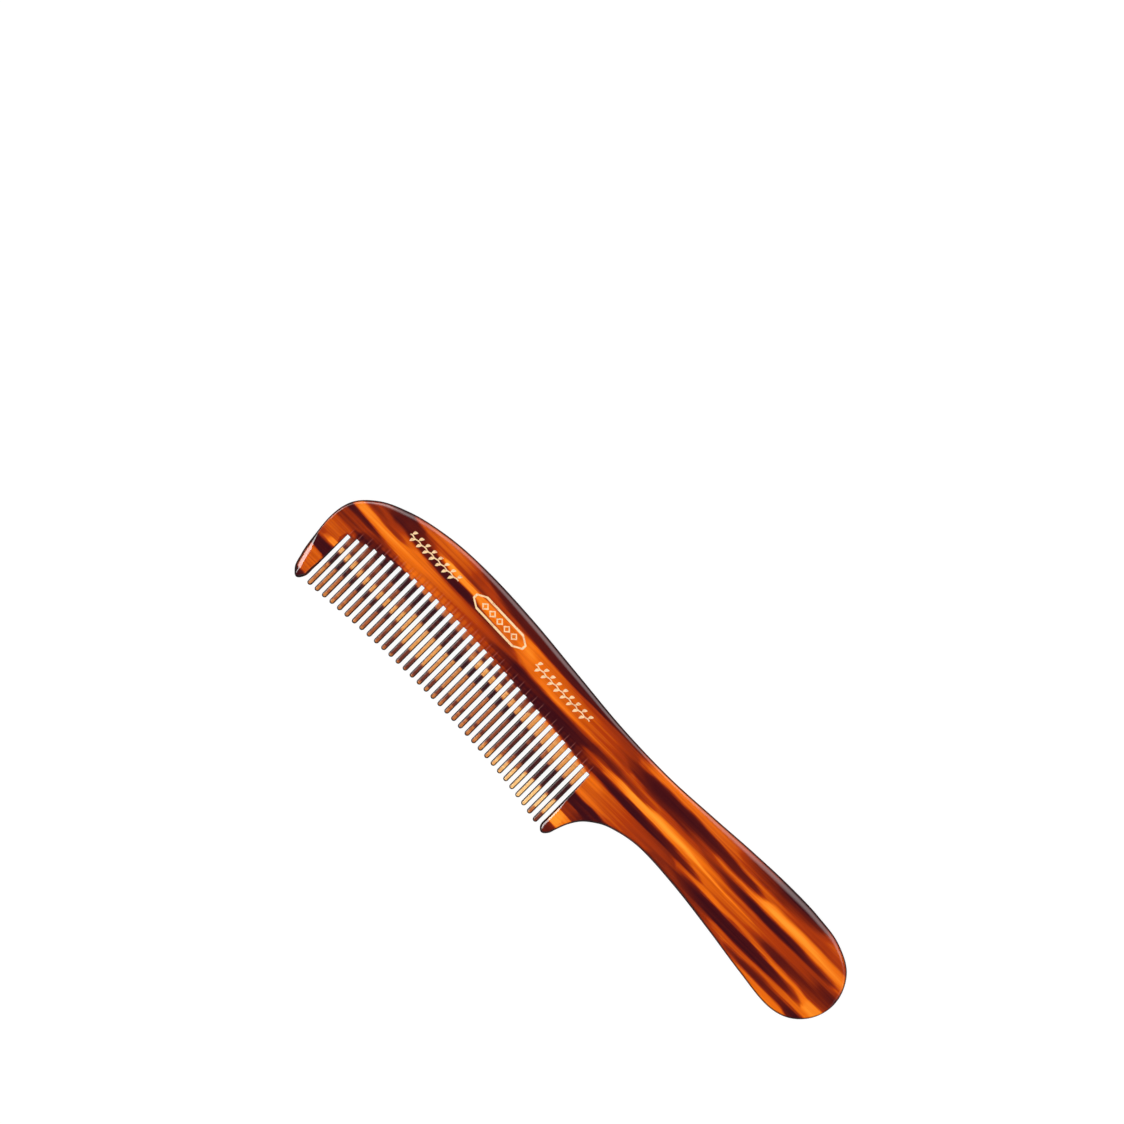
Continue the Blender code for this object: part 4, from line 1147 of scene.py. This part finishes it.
def floor_material():
    """A white light table: it glows, and takes a faint shadow."""
    material, tree, shader = new_material("light_table")
    place = add_node(tree, "ShaderNodeTexCoord").outputs["Object"]
    clouding = grain(tree, place, *CLOUDING)
    shade = ramp(tree, maths(tree, "MULTIPLY_ADD", clouding, 0.5, 0.5), TABLE_COLOURS)
    tree.links.new(shade, shader.inputs["Base Color"])
    shader.inputs["Roughness"].default_value = TABLE_ROUGHNESS
    shader.inputs["Specular IOR Level"].default_value = 0.0
    shader.inputs["Emission Color"].default_value = (1.0, 1.0, 1.0, 1.0)
    shader.inputs["Emission Strength"].default_value = TABLE_GLOW
    return material


# ---------------------------------------------------------------- the foil ornaments
FOIL_LOW = 3.99
FOIL_HIGH = 4.05
MARK_SLOPE = -2.0  # degrees
VINE_FRONT_CENTRE = (28.7, 15.0)
CARTOUCHE_CENTRE = (54.1, 15.1)
VINE_REAR_CENTRE = (80.4, 13.3)
LEAF_STEPS = 7
LEAF_PITCH = 1.25
LEAF_LENGTH = 1.7
LEAF_WIDTH = 0.85
LEAF_LEAN = 52.0
LEAF_LIFT = 0.93
LEAF_BOW = 0.3
LEAF_SHIFT = 0.3
STEM_STEPS = 6  # from one leaf to the next
STEM_SWAY = 0.12
STEM_WIDTH = 0.34
VINE_FRONT_LENGTH = 18.6
VINE_REAR_LENGTH = 21.8
FRAME_SIZE = (20.2, 4.8)
FRAME_LINE = 0.62
FRAME_SLANT = 1.2  # a pointed end's length, in half heights
FRAME_NOSE = 0.3  # its blunt tip, in half heights
ROW_SIZE = (14.4, 2.3)
LOZENGE_COUNT = 5
LOZENGE_LINE = 0.42
LOZENGE_GAP = 0.3
LOZENGE_INSET = 1.4  # a long corner's inset, in line widths


def leaf(x, y, length, width, lean):
    """The outline of a pointed, slightly bowed leaf that leans from the row's line."""
    points = []
    for side in (1, -1):
        for step in range(LEAF_STEPS):
            share = step / LEAF_STEPS
            belly = math.sin(math.pi * share)
            along = side * (share - 0.5) * length
            points.append(Vector((along, belly * width * (LEAF_BOW - side / 2))))
    turned = Matrix.Rotation(math.radians(lean), 2)
    return [turned @ point + Vector((x, y)) for point in points]


def vine(length):
    """A fine wavy stem with leaves that lean forward from its crests and back from its troughs."""
    count = round(length / LEAF_PITCH)
    steps = STEM_STEPS * count
    upper, lower = [], []
    for step in range(steps + 1):
        x = length * (step / steps - 0.5)
        y = STEM_SWAY * math.sin(math.pi * count * step / steps)
        upper.append(Vector((x, y + STEM_WIDTH / 2)))
        lower.append(Vector((x, y - STEM_WIDTH / 2)))
    shapes = [[upper + lower[::-1]]]
    for index in range(count):
        side = 1 if index % 2 == 0 else -1
        x = length * ((index + 0.5) / count - 0.5)
        shapes.append([leaf(x + side * LEAF_SHIFT, side * LEAF_LIFT, LEAF_LENGTH, LEAF_WIDTH, LEAF_LEAN)])
    return shapes


def pointed_frame(length, height, line):
    """A long frame with blunt pointed ends."""
    loops = []
    for inset in (0.0, line):
        half_length, half_height = length / 2 - inset, height / 2 - inset
        shoulder = half_length - half_height * FRAME_SLANT
        nose = half_height * FRAME_NOSE
        right = [
            (shoulder, half_height),
            (half_length, nose),
            (half_length, -nose),
            (shoulder, -half_height),
        ]
        loops.append([Vector(point) for point in right] + [Vector((-x, -y)) for x, y in right])
    return loops


def lozenge_row(length, height, count, line):
    """Hollow lozenges in a row, with their points apart."""
    pitch = length / count
    shapes = []
    for index in range(count):
        middle = pitch * (index + 0.5) - length / 2
        loops = []
        for inset in (0.0, line):
            half_width = pitch / 2 - LOZENGE_GAP / 2 - inset * LOZENGE_INSET
            half_height = height / 2 - inset
            corners = [(half_width, 0), (0, half_height), (-half_width, 0), (0, -half_height)]
            loops.append([Vector((middle + x, y)) for x, y in corners])
        shapes.append(loops)
    return shapes


def build_foil(name, node, shapes, centre, slope, to_frame, material):
    """Thin foil on the upper face: each shape is one loop, or an outer and an inner loop."""
    turn = Matrix.Rotation(math.radians(slope), 2)
    mesh = bmesh.new()
    for loops in shapes:
        placed = [[turn @ point + centre for point in loop] for loop in loops]
        low, high = (
            [[mesh.verts.new((p.x, p.y, z)) for p in loop] for loop in placed]
            for z in (FOIL_LOW, FOIL_HIGH)
        )
        count = len(loops[0])
        for index in range(count):
            after = (index + 1) % count
            for lower, upper in zip(low, high):
                mesh.faces.new((lower[index], lower[after], upper[after], upper[index]))
            if len(loops) == 2:
                for outer, inner in (low, high):
                    mesh.faces.new((outer[index], outer[after], inner[after], inner[index]))
        if len(loops) == 1:
            mesh.faces.new(low[0])
            mesh.faces.new(high[0])
    piece = new_object(name, mesh, to_frame, material, FOIL_SHARP_ANGLE)
    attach(piece, BODY)
    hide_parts(node)


def build_foils(to_frame, material):
    """The generic ornaments that stand where the real comb's printed marks are."""
    frame = [pointed_frame(*FRAME_SIZE, FRAME_LINE)]
    lozenges = lozenge_row(*ROW_SIZE, LOZENGE_COUNT, LOZENGE_LINE)
    plan = (
        ("vine_front", "foil_mark_front", vine(VINE_FRONT_LENGTH), VINE_FRONT_CENTRE, 0.0),
        ("cartouche_frame", "foil_cartouche", frame, CARTOUCHE_CENTRE, MARK_SLOPE),
        ("cartouche_lozenges", "foil_emblem", lozenges, CARTOUCHE_CENTRE, MARK_SLOPE),
        ("vine_rear", "foil_mark_rear", vine(VINE_REAR_LENGTH), VINE_REAR_CENTRE, MARK_SLOPE),
    )
    for name, node, shapes, centre, slope in plan:
        build_foil(name, node, shapes, Vector(centre), slope, to_frame, material)


# ---------------------------------------------------------------- the light table, lights and camera
FLOOR_WIDTH = 8.0


def build_floor():
    """The light table under the comb."""
    mesh = bmesh.new()
    bmesh.ops.create_grid(mesh, x_segments=1, y_segments=1, size=FLOOR_WIDTH / 2)
    floor = new_object("light_table", mesh, Matrix(), floor_material(), SHARP_ANGLE)
    floor.visible_glossy = False  # the real comb's edges mirror a dark studio, not its white ground


LIGHT_DISTANCE = 1.2


def area_light(name, radiance, size, azimuth, zenith, distance=LIGHT_DISTANCE, fill=False):
    """A soft rectangular light aimed at the comb, placed by its angle round from +X and down from +Z.

    A fill light is seen by the diffuse colour alone, and any other by the polish alone.
    """
    light = bpy.data.lights.new(name, "AREA")
    light.shape = "RECTANGLE"
    light.size, light.size_y = size
    light.energy = radiance * math.pi * size[0] * size[1]
    lamp = bpy.data.objects.new(name, light)
    turn = Matrix.Rotation(math.radians(azimuth), 4, "Z") @ Matrix.Rotation(math.radians(zenith), 4, "Y")
    lamp.matrix_world = turn @ Matrix.Translation((0, 0, distance))
    lamp.visible_camera = False
    lamp.visible_diffuse = fill
    lamp.visible_glossy = not fill
    bpy.context.scene.collection.objects.link(lamp)


PANEL_STEPS = 4
PANEL_CORE = 0.35  # the innermost panel's share of the full width
PANEL_GAP = 0.01


def soft_panel(name, radiance, size, azimuth, zenith):
    """A softbox behind the comb with fading edges: panels of growing size, one behind the other."""
    for step in range(PANEL_STEPS):
        grow = PANEL_CORE + (1.0 - PANEL_CORE) * step / (PANEL_STEPS - 1)
        share = radiance / PANEL_STEPS
        grown = (size[0] * grow, size[1])
        area_light(f"{name}_{step}", share, grown, azimuth, zenith, LIGHT_DISTANCE + step * PANEL_GAP)


def build_lights():
    """One fill light, and the softbox and strips that the polish mirrors."""
    area_light("overhead", 3.3, (2.0, 2.0), 0, 0, distance=1.5, fill=True)
    soft_panel("back_softbox", 3.6, (1.6, 1.5), 97, 47)
    area_light("end_strip", 1.6, (0.35, 0.8), 20, 46)
    area_light("shoulder_strip", 3.6, (0.5, 0.9), 144, 52)
    area_light("head_strip", 12.5, (0.5, 1.0), 196, 44)


HORIZON = (0.14, 0.05)  # the direction's height where the white starts and where it is full
CEILING_COLOUR = (0.03, 0.03, 0.03, 1.0)
HORIZON_COLOUR = (1.0, 1.0, 1.0, 1.0)


def build_world():
    """A white horizon between a dark ceiling and the dark under the table."""
    world = bpy.data.worlds.new("studio")
    world.use_nodes = True
    tree = world.node_tree
    direction = add_node(tree, "ShaderNodeTexCoord").outputs["Generated"]
    height = maths(tree, "ABSOLUTE", add_node(tree, "ShaderNodeSeparateXYZ", {0: direction}).outputs[2])
    level = smooth_step(tree, height, *HORIZON)
    colour = blend(tree, level, CEILING_COLOUR, HORIZON_COLOUR)
    tree.links.new(colour, tree.nodes["Background"].inputs["Color"])
    bpy.context.scene.world = world


CAMERA_LENS = 200.0
CAMERA_SENSOR = 36.0
CAMERA_REACH = 20.0
CAMERA_TURN = 44.75
CAMERA_CENTRE = (-42.78, 36.89)  # mm from the comb's own centre
FRAME_WIDTH = 312.1  # mm of the comb's plane across the picture


def build_camera(centre, top):
    """A camera that looks straight down, turned so that the comb lies slantwise."""
    camera = bpy.data.cameras.new("camera")
    camera.lens = CAMERA_LENS
    camera.sensor_width = CAMERA_SENSOR
    camera.clip_end = CAMERA_REACH
    rig = bpy.data.objects.new("camera", camera)
    distance = FRAME_WIDTH * MM * CAMERA_LENS / CAMERA_SENSOR
    rig.location = centre + Vector((*CAMERA_CENTRE, 0.0)) * MM
    rig.location.z = top + distance
    rig.rotation_euler = (0.0, 0.0, math.radians(CAMERA_TURN))
    bpy.context.scene.collection.objects.link(rig)
    bpy.context.scene.camera = rig


def main():
    """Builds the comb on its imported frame, then the table, lights, world and camera."""
    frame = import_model()
    cad_low, cad_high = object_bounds()
    datum = (cad_low[0], cad_high[1] - BACK_TOP * MM, cad_low[2])
    to_frame = Matrix.Translation(datum) @ Matrix.Scale(MM, 4)
    teeth = []
    for index in range(TOOTH_COUNT):
        low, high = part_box(f"tooth_{index + 1:02}")
        teeth.append(((low[0] - cad_low[0]) / MM, (high[0] - cad_low[0]) / MM))
    pitch = (teeth[-1][0] - teeth[0][0]) / (TOOTH_COUNT - 1)
    slot_start = (FRONT_GUARD_INNER + teeth[0][0]) / 2 + SAW_DRIFT
    teeth = [(left + saw_drift(left), right + saw_drift(left)) for left, right in teeth]
    comb = build_comb(teeth, to_frame, acetate_material(to_frame, slot_start, pitch))
    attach(comb, BODY)
    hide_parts(*(node for node in frame["nodes"] if not node.startswith("foil_")))
    build_foils(to_frame, foil_material(to_frame))
    build_floor()
    build_lights()
    build_world()
    build_camera((Vector(cad_low) + Vector(cad_high)) / 2, cad_high[2])
    bpy.context.scene.view_settings.view_transform = "Standard"


main()
